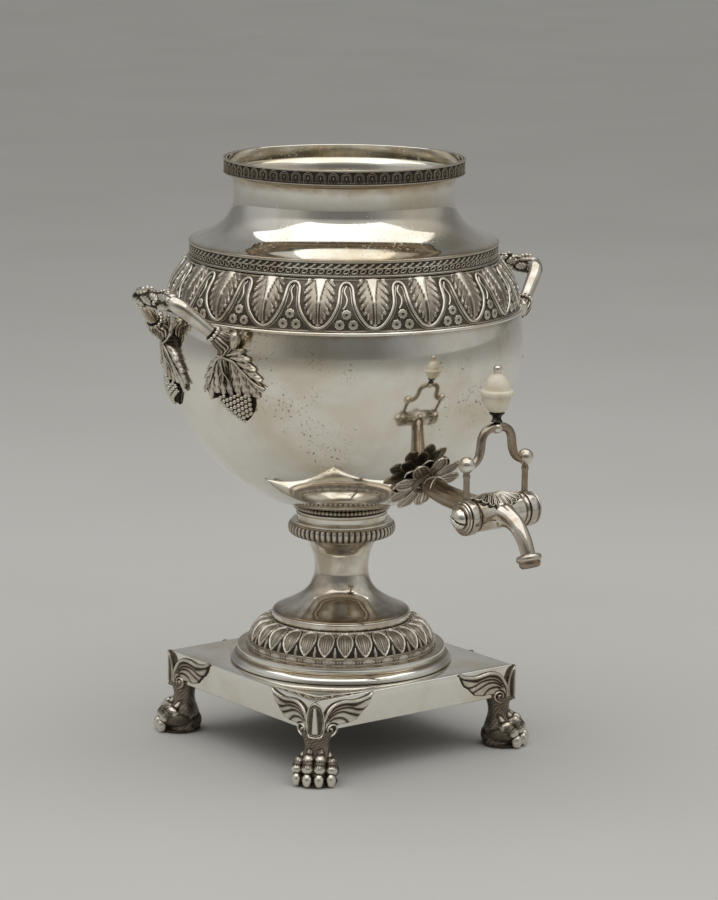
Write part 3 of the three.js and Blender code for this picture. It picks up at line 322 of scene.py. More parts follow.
def insideDistance(x, y, outline):
    # Distance to a closed outline, positive where a ray crosses the outline an odd number of times
    a = np.asarray(outline, float)
    b = np.roll(a, -1, axis=0)
    rise = np.where(b[:, 1] == a[:, 1], 1e-9, b[:, 1] - a[:, 1])
    cross = (a[:, 1] > y[..., None]) != (b[:, 1] > y[..., None])
    left = x[..., None] < (b[:, 0] - a[:, 0]) * (y[..., None] - a[:, 1]) / rise + a[:, 0]
    odd = (cross & left).sum(-1) % 2
    return np.where(odd == 1, 1, -1) * lineDistance(x, y, np.vstack([a, a[:1]]))


def plateShape(x, y, height, back, keep, place, depth):
    # A cast plate on a grid: front and back skins, and a wall round the cells that are kept
    rows, columns = x.shape
    cells = keep[:-1, :-1] & keep[1:, :-1] & keep[:-1, 1:] & keep[1:, 1:]
    index = np.arange(rows * columns).reshape(rows, columns)
    c0, c1, c2, c3 = index[:-1, :-1], index[:-1, 1:], index[1:, 1:], index[1:, :-1]
    top = np.stack([c0, c1, c2, c3], -1)[cells]
    bottom = top[:, ::-1] + rows * columns
    framed = np.pad(cells, 1)
    walls = []
    for gone, start, stop in (
        (framed[:-2, 1:-1], c0, c1), (framed[1:-1, 2:], c1, c2), (framed[2:, 1:-1], c2, c3),
        (framed[1:-1, :-2], c3, c0),
    ):
        edge = cells & ~gone
        s, t = start[edge], stop[edge]
        walls.append(np.stack([t, s, s + rows * columns, t + rows * columns], -1))
    quads = np.vstack([top, bottom, *walls])
    skins = (height, np.broadcast_to(back, x.shape))
    points = np.vstack([place(x, y, skin).reshape(-1, 3) for skin in skins])
    used, quads = np.unique(quads, return_inverse=True)
    # The back skin and the walls get painted shade
    shades = np.concatenate([depth.reshape(-1), np.full(rows * columns, 0.5)])
    return makeShape(points[used], quads.reshape(-1, 4), np.zeros((0, 3), int), shades[used])


def veinField(x, y, veins, pitch=4.6, slope=1.2):
    # Overlapping lobes with ribs, slanting veins and curled tips: the one that reaches furthest counts
    best, second, height = np.full(x.shape, -9.0), np.full(x.shape, -9.0), np.zeros(x.shape)
    for x0, y0, x1, y1, half in veins:
        length = math.hypot(x1 - x0, y1 - y0)
        ax, ay = (x1 - x0) / length, (y1 - y0) / length
        along = (x - x0) * ax + (y - y0) * ay
        aside = np.abs((y - y0) * ax - (x - x0) * ay)
        lobe = ((along - slope * aside) / pitch) % 1
        share = limited(along / length)
        wide = half * np.sin(np.pi * (0.12 + 0.8 * share)) ** 0.6 * (
            0.9 + 0.1 * np.sqrt(4 * lobe * (1 - lobe))
        )
        inside = np.where((along > -0.4) & (along < length), wide - aside, -9)
        rise = (
            0.25 + 0.5 * limited(inside / (0.75 * half)) ** 0.7
            - 0.16 * np.cos(2 * np.pi * lobe) * limited(aside - 0.4)
        )
        rise = np.maximum(rise, 0.95 * ridge(aside, 0.42)) + 0.4 * share**3
        take = inside > best
        second = np.where(take, best, np.maximum(second, inside))
        best, height = np.where(take, inside, best), np.where(take, rise, height)
    return (
        best, height - 0.6 * np.exp(-(best - second) / 0.4) * (second > -1)
        - 0.3 * np.exp(-np.maximum(best, 0) / 0.3)
    )


def shadedCreases(shapes, reach=1.1, strength=0.95):
    # Painted shade, with dark oxide, in the creases where pieces meet: within the reach, a point's shade
    # depth grows the nearer another piece's points are
    for i, shape in enumerate(shapes):
        others = np.vstack([s["points"] for k, s in enumerate(shapes) if k != i])
        near = np.concatenate([
            np.sqrt(np.maximum(((p[:, None] - others[None]) ** 2).sum(-1).min(1), 0))
            for p in np.array_split(shape["points"], max(1, len(shape["points"]) // 200))
        ])
        hollowShade = strength * limited(1 - near / reach) ** 0.7
        shape["depth"] = np.maximum(shape["depth"], hollowShade)
    return shapes


def latticeInside(outline, pitch, turn, margin):
    # Places of a closely packed layer of balls inside an outline, rows turned by an angle
    outline = np.asarray(outline, float)
    middle = outline.mean(0)
    i, k = np.meshgrid(np.arange(-20, 21), np.arange(-20, 21))
    u, v = (i + 0.5 * (k % 2)) * pitch, k * pitch * 0.87
    c, s = math.cos(turn), math.sin(turn)
    x, y = middle[0] + u * c - v * s, middle[1] + u * s + v * c
    inside = insideDistance(x, y, outline)
    keep = inside > margin
    return x[keep], y[keep], inside[keep]


def meshgrid(low, high, steps):
    return np.meshgrid(np.linspace(low[0], high[0], steps[0]), np.linspace(low[1], high[1], steps[1]))


finishes = {}


def addPiece(name, shapes, finish, stands, sharp=38, body="urn"):
    shape = joinShapes(shapes if isinstance(shapes, list) else [shapes])
    quads, tris = shape["quads"], shape["tris"]
    mesh = bpy.data.meshes.new(name)
    mesh.vertices.add(len(shape["points"]))
    mesh.vertices.foreach_set("co", (shape["points"] * mm).astype(np.float32).ravel())
    corners = np.concatenate([quads.ravel(), tris.ravel()]).astype(np.int32)
    mesh.loops.add(len(corners))
    mesh.loops.foreach_set("vertex_index", corners)
    mesh.polygons.add(len(quads) + len(tris))
    starts = np.concatenate([np.arange(len(quads)) * 4, len(quads) * 4 + np.arange(len(tris)) * 3])
    mesh.polygons.foreach_set("loop_start", starts.astype(np.int32))
    mesh.update(calc_edges=True)
    mesh.validate()
    mesh.shade_smooth()
    mesh.set_sharp_from_angle(angle=math.radians(sharp))
    # The depth value darkens the finish: oxide and painted shade in hollows, painted shade on back faces,
    # creases and joins
    mark = mesh.attributes.new("depth", "FLOAT", "POINT")
    if len(mark.data) == len(shape["depth"]):
        mark.data.foreach_set("value", limited(shape["depth"]).astype(np.float32))
    slot, material = finishes[finish]
    mesh.materials.append(material)
    piece = bpy.data.objects.new(name, mesh)
    bpy.context.scene.collection.objects.link(piece)
    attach(piece, body)
    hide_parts(*stands)


# Finishes: colour, roughness and bump come from noises in the object's own space and from each point's shade
# depth:
# how deep it lies in its relief, standing for dark oxide and painted shade in the hollows, and elsewhere
# painted shade on back faces, creases and joins, and a painted reflection low on the bowl

def startMaterial(name):
    material = bpy.data.materials.new(name)
    material.use_nodes = True
    tree = material.node_tree
    tree.nodes.clear()
    output = tree.nodes.new("ShaderNodeOutputMaterial")
    shader = tree.nodes.new("ShaderNodeBsdfPrincipled")
    tree.links.new(shader.outputs["BSDF"], output.inputs["Surface"])
    return material, tree, shader


def setSocket(tree, socket, value):
    if isinstance(value, bpy.types.NodeSocket):
        tree.links.new(value, socket)
    else:
        socket.default_value = value


def placeNode(tree, stretch=(1, 1, 1)):
    coordinates = tree.nodes.new("ShaderNodeTexCoord")
    mapping = tree.nodes.new("ShaderNodeMapping")
    mapping.inputs["Scale"].default_value = stretch
    tree.links.new(coordinates.outputs["Object"], mapping.inputs["Vector"])
    return mapping.outputs["Vector"]


def noiseNode(tree, place, scale, detail=3, roughness=0.5, distortion=0.0):
    node = tree.nodes.new("ShaderNodeTexNoise")
    for name, value in (
        ("Scale", scale), ("Detail", detail), ("Roughness", roughness), ("Distortion", distortion)
    ):
        node.inputs[name].default_value = value
    tree.links.new(place, node.inputs["Vector"])
    return node.outputs["Fac"]


def rampNode(tree, value, low, high, bottom=0.0, top=1.0):
    node = tree.nodes.new("ShaderNodeMapRange")
    node.interpolation_type = "SMOOTHSTEP"
    for name, number in (("From Min", low), ("From Max", high), ("To Min", bottom), ("To Max", top)):
        node.inputs[name].default_value = number
    setSocket(tree, node.inputs["Value"], value)
    return node.outputs["Result"]


def mathNode(tree, kind, a, b=0.0, c=None):
    node = tree.nodes.new("ShaderNodeMath")
    node.operation = kind
    setSocket(tree, node.inputs[0], a)
    setSocket(tree, node.inputs[1], b)
    if c is not None:
        setSocket(tree, node.inputs[2], c)
    return node.outputs[0]


def mixNode(tree, share, a, b):
    node = tree.nodes.new("ShaderNodeMix")
    node.data_type = "RGBA"
    setSocket(tree, node.inputs["Factor"], share)
    setSocket(tree, node.inputs[6], a if not isinstance(a, tuple) else (*a, 1))
    setSocket(tree, node.inputs[7], b if not isinstance(b, tuple) else (*b, 1))
    return node.outputs[2]


def bumpNode(tree, height, distance, normal=None):
    node = tree.nodes.new("ShaderNodeBump")
    node.inputs["Distance"].default_value = distance
    setSocket(tree, node.inputs["Height"], height)
    if normal is not None:
        tree.links.new(normal, node.inputs["Normal"])
    return node.outputs["Normal"]


def makeSilver(name, look):
    material, tree, shader = startMaterial(name)
    place = placeNode(tree)
    wiped = placeNode(tree, look["wipeStretch"])
    patches = rampNode(tree, noiseNode(tree, place, look["patchScale"], 5, 0.6, 0.4), *look["patchRange"])
    clouds = noiseNode(tree, place, look["cloudScale"], 4, 0.6)
    wiping = noiseNode(tree, wiped, look["wipeScale"], 3, 0.6)
    spotted = rampNode(tree, noiseNode(tree, place, look["spotScale"], 4, 0.62), *look["spotRange"])
    specks = rampNode(tree, noiseNode(tree, place, look["speckScale"], 3, 0.6), *look["speckRange"])
    pits = mathNode(tree, "MULTIPLY", specks, spotted)
    # The depth value, roughened by clouds, lays on a brown layer of stain and painted shade and, deepest, the
    # dark ground colour for oxide and painted shade in the hollows
    depth = tree.nodes.new("ShaderNodeAttribute")
    depth.attribute_name = "depth"
    stainAndShadeLevel = mathNode(tree, "MULTIPLY_ADD", clouds, look["shadeDepthNoise"], depth.outputs["Fac"])
    stainAndShade = rampNode(tree, stainAndShadeLevel, *look["stainAndShadeRange"], 0, look["stainAndShadeShare"])
    hollowShade = rampNode(tree, stainAndShadeLevel, *look["shadeDepthRange"])
    tarnished = mathNode(tree, "MULTIPLY", patches, look["patchShare"])
    clouded = rampNode(tree, clouds, *look["cloudRange"], 0, look["cloudShare"])
    pitted = mathNode(tree, "MULTIPLY", pits, look["pitShare"])
    colour = look["clean"]
    for share, tone in (
        (tarnished, "tarnish"), (clouded, "cloud"), (pitted, "ground"), (stainAndShade, "brown"), (hollowShade, "ground"),
    ):
        colour = mixNode(tree, share, colour, look[tone])
    tree.links.new(colour, shader.inputs["Base Color"])
    shader.inputs["Metallic"].default_value = 1
    rough = look["rough"] - look["cloudRough"] / 2
    for share, amount in (
        (clouds, "cloudRough"), (stainAndShade, "stainAndShadeRough"), (hollowShade, "hollowRough"), (patches, "patchRough"),
        (pits, "pitRough"),
    ):
        rough = mathNode(tree, "MULTIPLY_ADD", share, look[amount], rough)
    tree.links.new(rough, shader.inputs["Roughness"])
    waves = noiseNode(tree, place, look["waveScale"], 1, 0.3)
    normal = bumpNode(tree, waves, look["waveHeight"])
    wiping = mathNode(tree, "MULTIPLY", wiping, look["wipeRise"])
    fine = mathNode(tree, "MULTIPLY_ADD", pits, look["pitDrop"], wiping)
    normal = bumpNode(tree, fine, look["fineHeight"], normal)
    tree.links.new(normal, shader.inputs["Normal"])
    return material


polishedLook = {
    "clean": (0.92, 0.9, 0.84), "tarnish": (0.74, 0.65, 0.5), "cloud": (0.82, 0.775, 0.675),
    "brown": (0.4, 0.3, 0.19), "ground": (0.06, 0.048, 0.035), "patchScale": 15, "patchRange": (0.42, 0.7),
    "patchShare": 0.85, "cloudShare": 0.4, "stainAndShadeRange": (0.28, 0.62), "stainAndShadeShare": 0.85, "cloudScale": 95,
    "cloudRange": (0.42, 0.75), "spotScale": 14, "spotRange": (0.53, 0.61), "speckScale": 560,
    "speckRange": (0.61, 0.66), "pitShare": 0.8, "shadeDepthNoise": 0.32, "shadeDepthRange": (0.72, 1.2),
    "rough": 0.06, "cloudRough": 0.035, "stainAndShadeRough": 0.12, "hollowRough": 0.35, "patchRough": 0.05,
    "pitRough": 0.3, "wipeStretch": (1, 1, 0.12), "wipeScale": 260, "wipeRise": 0.6, "pitDrop": -2.5,
    "waveScale": 20, "waveHeight": 0.00016, "fineHeight": 0.000006,
}
brightLook = dict(polishedLook, pitShare=0.06)
agedLook = dict(
    polishedLook, clean=(0.87, 0.83, 0.75), tarnish=(0.47, 0.385, 0.28), cloud=(0.62, 0.54, 0.43),
    brown=(0.26, 0.19, 0.125), patchScale=42, patchRange=(0.4, 0.64), patchShare=0.75, cloudShare=0.5,
    rough=0.07, cloudRough=0.05, pitShare=0.4,
)
chasedLook = dict(
    polishedLook, clean=(0.8, 0.76, 0.68), tarnish=(0.6, 0.52, 0.41), cloud=(0.6, 0.52, 0.41),
    brown=(0.36, 0.3, 0.23), ground=(0.075, 0.064, 0.05), patchShare=0.7, cloudShare=0.6, pitShare=0.2,
    shadeDepthNoise=0.3, stainAndShadeRange=(0.25, 0.62), stainAndShadeShare=0.8, shadeDepthRange=(0.55, 1.05), rough=0.24,
    cloudRough=0.12, hollowRough=0.3, waveHeight=0.00008, fineHeight=0.00003,
)
castLook = dict(
    chasedLook, clean=(0.82, 0.775, 0.69), brown=(0.25, 0.195, 0.14), ground=(0.04, 0.033, 0.025),
    shadeDepthRange=(0.45, 0.95), rough=0.26, fineHeight=0.00006
)


def makeIvory():
    # Turned ivory: cream with warmer clouds and a faint long grain
    look = {"pale": (0.86, 0.8, 0.66), "warm": (0.72, 0.6, 0.4), "grain": (0.78, 0.69, 0.52)}
    material, tree, shader = startMaterial("turnedIvory")
    place = placeNode(tree)
    grain = noiseNode(tree, placeNode(tree, (1, 1, 0.06)), 900, 4, 0.6)
    cloud = noiseNode(tree, place, 120, 3)
    colour = mixNode(tree, rampNode(tree, cloud, 0.4, 0.75, 0, 0.6), look["pale"], look["warm"])
    colour = mixNode(tree, rampNode(tree, grain, 0.5, 0.7, 0, 0.35), colour, look["grain"])
    tree.links.new(colour, shader.inputs["Base Color"])
    tree.links.new(mathNode(tree, "MULTIPLY_ADD", cloud, 0.15, 0.22), shader.inputs["Roughness"])
    tree.links.new(bumpNode(tree, grain, 0.00002), shader.inputs["Normal"])
    shader.inputs["Subsurface Weight"].default_value = 0.15
    shader.inputs["Subsurface Radius"].default_value = (0.003, 0.002, 0.001)
    return material


def makeDarkMetal():
    material, tree, shader = startMaterial("blackenedFerrule")
    place = placeNode(tree)
    cloud = noiseNode(tree, place, 300, 4, 0.6)
    colour = mixNode(tree, rampNode(tree, cloud, 0.5, 0.8), (0.035, 0.032, 0.028), (0.3, 0.27, 0.22))
    tree.links.new(colour, shader.inputs["Base Color"])
    shader.inputs["Metallic"].default_value = 1
    tree.links.new(mathNode(tree, "MULTIPLY_ADD", cloud, 0.3, 0.25), shader.inputs["Roughness"])
    tree.links.new(bumpNode(tree, cloud, 0.00005), shader.inputs["Normal"])
    return material


for name, slot, look in (
    ("polished", "polished_silver", polishedLook), ("bright", "polished_silver", brightLook),
    ("aged", "polished_silver", agedLook), ("chased", "chased_silver", chasedLook),
    ("cast", "chased_silver", castLook),
):
    finishes[name] = (slot, makeSilver(name + "Silver", look))
finishes["ivory"] = ("ivory", makeIvory())
finishes["dark"] = ("dark_metal", makeDarkMetal())
print("finishes made")

# The bowl: below its widest level the radius is R(1 - t^a)^(1/b), with t the share of the way down; above
# it the bowl draws in with the square of the height
bowl = {
    "widest": 260.9, "radius": 115.3, "base": 154.2, "top": 283.4, "mouth": 113, "floor": 1.623,
    # Darkening by level: a painted gold-brown reflection near the beads at the base, and painted shade just
    # under the wire at the top
    "side": 2.444, "wall": 1.2, "stainAndShade": ([154, 160, 172, 190, 278, 283.4], [0.45, 0.3, 0.16, 0, 0, 0.3])
}


def bowlRadius(level):
    down = limited((bowl["widest"] - level) / (bowl["widest"] - bowl["base"]))
    up = limited((level - bowl["widest"]) / (bowl["top"] - bowl["widest"]))
    lower = bowl["radius"] * (1 - down ** bowl["floor"]) ** (1 / bowl["side"])
    return np.where(level > bowl["widest"], bowl["radius"] + (bowl["mouth"] - bowl["radius"]) * up**2, lower)


def bowlLine(steps):
    # Levels crowd towards the base, where the line runs nearly flat
    share = np.linspace(0, 1, steps) ** 1.9
    level = bowl["top"] + (bowl["base"] - bowl["top"]) * (1 - share)
    line = np.stack([bowlRadius(level), level], -1)[::-1]
    along = np.r_[0, np.cumsum(np.linalg.norm(np.diff(line, axis=0), axis=1))]
    even = np.linspace(0, along[-1], steps)
    return np.stack([np.interp(even, along, line[:, 0]), np.interp(even, along, line[:, 1])], -1)


fineBowlLine = bowlLine(900)
fineBowlRun = np.linspace(0, np.linalg.norm(np.diff(fineBowlLine, axis=0), axis=1).sum(), 900)


def onBowl(angle, level, across, up, lift):
    # A place on the bowl, so far across and up over its skin from an angle and level, lifted along the normal
    start = np.interp(-level, -fineBowlLine[:, 1], fineBowlRun)
    radius, height, nr, nz = alongLine(start - up, fineBowlRun, fineBowlLine)
    return aroundUrn(radius + nr * lift, angle + across / np.maximum(radius, 1), height + nz * lift)


def makeBowl():
    outer = bowlLine(120)
    inner = (outer - lineNormals(outer) * bowl["wall"])[::-3]
    inner[0] = (0, bowl["base"] + bowl["wall"])
    inner[-1, 1] = bowl["top"]
    outer[-1] = (0, bowl["base"])
    line = np.vstack([outer[::-1], inner[::-1]])
    shape = turnedShape(line, 240, np.interp(line[:, 1], *bowl["stainAndShade"]), closed=False)
    addPiece("raisedBowl", shape, "polished", ["bowl"])


makeBowl()

# Neck, rim and the wire: plain turned silver
neck = {
    "outer": [
        (75.1, 380), (75.4, 379.7), (75.4, 370.7), (73.2, 370.3), (71.9, 369.2), (70.9, 367), (70.4, 363),
        (70.2, 358), (70.35, 353), (71.3, 348.5), (73.5, 344.1), (76.9, 339.6), (82.3, 335.1),
        (89.5, 331.4), (95.9, 328.9), (98.4, 327.9), (98.8, 327.4), (98.7, 327.05),
    ],
    "wall": 1.1, "insideFoot": 327.2, "flange": [(97.3, 327.05), (97.3, 317.6), (96.2, 317.6), (96.2, 326.6)],
    "mouth": [(74.3, 371.6), (74.3, 379.7), (74.6, 380)],
    # Darkening by level: painted shade, with stain, towards both ends where the neck meets the chased bands
    "stainAndShade": ([326.6, 329, 334, 352, 363, 368.5, 371], [0.55, 0.2, 0, 0, 0.14, 0.45, 0.6]),
}
wire = {"radius": 112.7, "level": 284.7, "out": 1.7, "tall": 1.28, "back": [(110.2, 283.45), (110.2, 285.95)]}


def makeNeck():
    line = smoothPath(neck["outer"][2:], 90)
    line = np.vstack([neck["outer"][:2], line])
    inside = line[3:-3:3] - lineNormals(line)[3:-3:3] * neck["wall"]
    inside = inside[inside[:, 1] > neck["insideFoot"]]
    stainAndShade = np.interp(line[:, 1], *neck["stainAndShade"])
    line = np.vstack([line, neck["flange"], inside[::-1], neck["mouth"]])
    stainAndShade = np.r_[stainAndShade, np.full(len(line) - len(stainAndShade), 0.1)]
    addPiece("sweptNeck", turnedShape(line, 200, stainAndShade), "bright", ["neck_shell"])


def makeWire():
    angle = np.linspace(-0.5, 0.5, 13) * np.pi
    out, up = wire["out"] * np.cos(angle), wire["tall"] * np.sin(angle)
    line = np.stack([wire["radius"] + out, wire["level"] - up], -1)
    addPiece("beltWire", turnedShape(np.vstack([line, wire["back"]]), 200), "bright", ["leaf_band_wire"])


makeNeck()
makeWire()
print("bowl and neck made")

# The convex band of hanging leaves: a tile is drawn for one leaf and repeated round it
leafBand = {
    "line": [
        (99.7, 317.1), (101.9, 314.8), (104.9, 310.8), (107.6, 307), (109.8, 303.4), (111.6, 299),
        (112.6, 295.5), (113, 291), (113.15, 286.1)
    ],
    "copies": 20, "rows": 56, "turn": -81, "relief": 2.0, "span": 34.2, "half": 17.35, "leafColumns": 40,
    "sideColumns": 6, "leafReach": 10.6, "back": [(109.4, 286.1), (107.5, 300), (104, 306), (96.5, 317.1)],
    # left halves of the bead and the line that frame a leaf
    "rib": [
        (-17.35, 2.5), (-15.9, 2.8), (-14.4, 4.1), (-13.3, 6.5), (-12.9, 9.5), (-12.7, 13), (-11.9, 18.3),
        (-9.9, 23.2), (-7.4, 27.2), (-4.5, 30.4), (-1.6, 31.9), (0, 32.1),
    ],
    "innerLine": [
        (-15.6, 5.6), (-14.9, 7.2), (-14.5, 9.8), (-14.3, 13.3), (-13.5, 18.9), (-11.4, 24.1), (-8.7, 28.5),
        (-5.4, 31.9), (-1.9, 33.5)
    ],
    "ribRadius": 0.95, "lineRadius": 0.42, "edgeSpan": [0, 7, 12, 20, 23.5, 27.5, 31],
    "edgeHalf": [10.4, 10.8, 10.4, 9.2, 7.2, 4.6, 1.4], "boneSpan": [0, 7, 12.6, 18.5, 30],
    "boneHalf": [3.9, 2.4, 1.2, 0.7, 0.4], "flowers": [(0, 23.6), (-4.1, 30.1), (4.1, 30.1)],
    "flowerShade": ([0, 1, 2, 7], [0.9, 0.3, 0.05, 0.5]),
    "flower": [
        (-0.9, 3.1), (0.35, 3.1), (0.75, 2.8), (0.7, 2.35), (0.85, 1.9), (0.6, 1.45), (0.85, 1.1),
        (0.8, 0.75), (-0.1, 0.45)
    ],
    "lobePitch": 5.6, "lobeLean": 1.7, "lobeBend": 0.035, "lobeShift": 40, "leafFoot": 31, "ribFoot": 31.2,
    "stem": [(0.2, 4.9), (-1.3, 8.7), (0.4, 13.8), (-0.3, 17.8), (-1.9, 20.2)], "stemRadius": 0.62,
}


def leafTile(x, s):
    # Heights of one tile: x across from the leaf's middle, s down from the band's top
    b = leafBand
    ax = np.abs(x)
    edge = np.interp(s, b["edgeSpan"], b["edgeHalf"])
    slant = s - b["lobeLean"] * ax + b["lobeBend"] * ax**2 + b["lobeShift"]
    lobe = (slant / b["lobePitch"]) % 1
    inside = edge * (0.76 + 0.24 * np.sin(np.pi * lobe ** 1.4)) - ax
    strand = 0.5 - 0.5 * np.cos(2 * np.pi * 3 * lobe)
    slit = ridge(np.minimum(lobe, 1 - lobe), 0.16) * limited(ax / np.maximum(edge, 1) * 1.8 - 0.6)
    tip = np.exp(-((inside - 1) ** 2)) * np.sin(np.pi * lobe)
    leaf = 0.4 + 0.28 * strand + 0.36 * tip - 0.5 * slit
    ground = 0.24 + 0.06 * np.cos(3.1 * x + 1.7 * s) * np.cos(2.3 * s)
    onLeaf = (inside > 0) & (s < b["leafFoot"])
    height = np.where(onLeaf, np.maximum(leaf, 0.2) * np.clip(inside / 0.5, 0.4, 1), ground)
    bone = np.interp(s, b["boneSpan"], b["boneHalf"])
    onBone = (ax < bone + 0.4) & (s < b["ribFoot"])
    height = np.where(onBone, np.where(ax < bone, 0.8 + 0.2 * ridge(ax, bone), 0.3), height)
    return highest(height, 0.9 * ridge(s - 0.4, 1.0), 0.8 * ridge(s - b["span"], 0.8))


def makeLeafBand():
    b = leafBand
    line = evenPath(b["line"], b["rows"])
    run = np.linspace(0, b["span"], b["rows"])
    side = (np.arange(b["sideColumns"]) + 0.5) / b["sideColumns"] * (b["half"] - b["leafReach"])
    middle = np.linspace(-b["leafReach"], b["leafReach"], b["leafColumns"])
    across = np.r_[-b["half"] + side, middle, b["leafReach"] + side]
    relief = b["relief"] * (1 - leafTile(*np.meshgrid(across, run)))
    places = across / (2 * b["half"])
    shapes = [carvedShape(line, relief, b["copies"], b["turn"], b["back"], b["relief"], places)]

    def heading(k, x):
        return math.radians(b["turn"]) + (k + x / (2 * b["half"])) * 2 * np.pi / b["copies"]

    def place(k, x, s, lift):
        radius, level, nr, nz = alongLine(s, run, line)
        return aroundUrn(radius + nr * lift, heading(k, x), level + nz * lift)

    # line, steps, radius, sides, shift across, lift, shade
    wires = (
        (mirroredLine(b["rib"]), 76, b["ribRadius"], 8, 0, -0.9, 0.1),
        (mirroredLine(b["innerLine"]), 56, b["lineRadius"], 6, 0, -1.35, 0.3),
        (b["stem"], 20, b["stemRadius"], 8, b["half"], -1.2, 0.15),
    )
    seed = smoothPath(b["flower"], 8)
    turn = fullTurn(18)
    wavy = seed[:, 1:] * (1 + 0.09 * np.cos(9 * turn) * (seed[:, 1:] > 1.6))
    petalShade = np.interp(np.arange(8), *b["flowerShade"])[:, None] + 0.25 * (seed[:, :1] < 0.66)
    for k in range(b["copies"]):
        for path, steps, radius, sides, shift, lift, shade in wires:
            x, s = evenPath(path, steps).T
            angle = heading(k, x + shift)
            outward = np.stack([np.cos(angle), np.sin(angle), 0.3 + 0 * angle], -1).mean(0)
            shapes.append(tubeShape(place(k, x + shift, s, lift), radius, sides, up=outward, depth=shade))
        for fx, fs in b["flowers"]:
            ring = place(k, fx + b["half"] + wavy * np.cos(turn), fs + wavy * np.sin(turn), seed[:, :1] - 1.5)
            shapes.append(gridShape(ring, depth=limited(petalShade)))
    addPiece("chasedLeafBand", shapes, "chased", ["leaf_band"], 60)


makeLeafBand()

# Narrow chased bands at the shoulder and the rim
shoulderBand = {
    "fillet": 0.9, "hookHalf": 0.7, "divider": (4.35, 0.32), "field": 4.6, "ovalHalf": (2.3, 1.35),
    "rope": (7.7, 0.35), "footRibs": [(8.4, 0.42), (9.25, 0.5)],
    "copies": 120, "columns": 16, "rows": 38, "relief": 0.8, "top": 327, "height": 9.6, "radius": 98.55,
    "turn": 0, "back": [(97.6, 317.4), (97.6, 327)],
    "hook": [(-2.1, 3.7), (-0.7, 3.3), (0.5, 2.2), (1.5, 1.9)], "lean": 20, "ovals": 6.1,
}
rimBand = {
    "fillet": 1.0, "archLines": [(0.75, 3.05, 0.42), (0.7, 2.1, 0.36)], "archSpan": (1.2, 8.1),
    "dotLevel": 7.5, "dotHalf": 0.5, "dotAcross": 0.9, "drop": (4.9, 0.6, 1.5), "milled": (9.0, 0.6),
    "copies": 60, "columns": 20, "rows": 36, "relief": 0.9, "top": 380, "height": 9.5, "radius": 77.3,
    "turn": -90, "back": [(75.6, 370.5), (75.6, 379.9)], "arches": 4.7,
}


def tileGrid(b):
    width = 2 * math.pi * b["radius"] / b["copies"]
    s = np.linspace(0, b["height"], b["rows"])
    return np.meshgrid(columnPlaces(b["columns"]) * width, s) + [width]


def levelRib(s, place):
    level, half = place
    return ridge(s - level, half)


def addCarved(name, b, line, height, node, full=1.0):
    # Full is the share of the relief at which the ground is as dark as it gets
    relief = b["relief"] * (1 - height)
    shape = carvedShape(line, relief, b["copies"], b["turn"], b["back"], b["relief"] * full)
    addPiece(name, shape, "chased", [node], 60)


def makeShoulderBand():
    # A row of small hooks above a row of leaning ovals, with plain mouldings at the top and foot
    b = shoulderBand
    x, s, width = tileGrid(b)
    hook = lineDistance(x, s, smoothPath(b["hook"], 8))
    lean = math.radians(b["lean"])
    down = s - b["ovals"]
    out, up = x * math.cos(lean) - down * math.sin(lean), x * math.sin(lean) + down * math.cos(lean)
    halfLong, halfTall = b["ovalHalf"]
    oval = np.hypot(out / halfLong, up / halfTall)
    ovals = highest(0.85 * ridge(oval - 0.78, 0.3), 0.5 * ridge(oval, 0.25))
    twist = 0.5 + 0.3 * np.cos(8 * np.pi * x / width)
    height = highest(
        np.where(s < b["fillet"], 1.0, 0.0), 0.85 * ridge(hook, b["hookHalf"]) ** 0.7,
        0.85 * levelRib(s, b["divider"]), np.where(s > b["field"], ovals, 0.3),
        twist * levelRib(s, b["rope"]), *(levelRib(s, place) for place in b["footRibs"]),
    )
    lower = np.clip((s[:, 0] - 8) * 1.2, 0, 1.1)
    line = np.stack([b["radius"] + lower, b["top"] - s[:, 0]], -1)
    addCarved("chasedShoulderBand", b, line, height, "shoulder_band", 0.84)


def makeRimBand():
    # Double horseshoe arches with a drop in each and dots between their feet, over a milled edge
    b = rimBand
    x, s, width = tileGrid(b)
    down = s - b["arches"]
    waist = np.abs(x) + 0.35 * np.sin(limited(down / 3.4) * np.pi)
    away = np.where(down < 0, np.hypot(x, down * 0.95), waist)
    top, foot = b["archSpan"]
    arch = highest(*(full * levelRib(away, line) for full, *line in b["archLines"])) * (s > top) * (s < foot)
    dots = [
        0.7 * ridge(np.hypot(np.abs(x) - across, s - b["dotLevel"]), b["dotHalf"])
        for across in (b["dotAcross"], width / 2)
    ]
    level, halfWide, halfTall = b["drop"]
    drop = 0.75 * ridge(np.hypot(x / halfWide, (s - level) / halfTall), 1)
    milling = 0.8 + 0.2 * np.cos(12 * np.pi * x / width)
    height = highest(
        np.where(s < b["fillet"], 0.9, 0.0), arch, drop, *dots, milling * levelRib(s, b["milled"])
    )
    line = np.stack([np.full(b["rows"], b["radius"]) - 0.5 * (s[:, 0] > 1.05), b["top"] - s[:, 0]], -1)
    shape = carvedShape(line, b["relief"] * (1 - height), b["copies"], b["turn"], b["back"], b["relief"])
    shape["depth"] = limited(0.14 + 0.92 * shape["depth"])
    addPiece("chasedRimBand", shape, "chased", ["rim_band"], 60)


makeShoulderBand()
makeRimBand()
print("chased bands made")

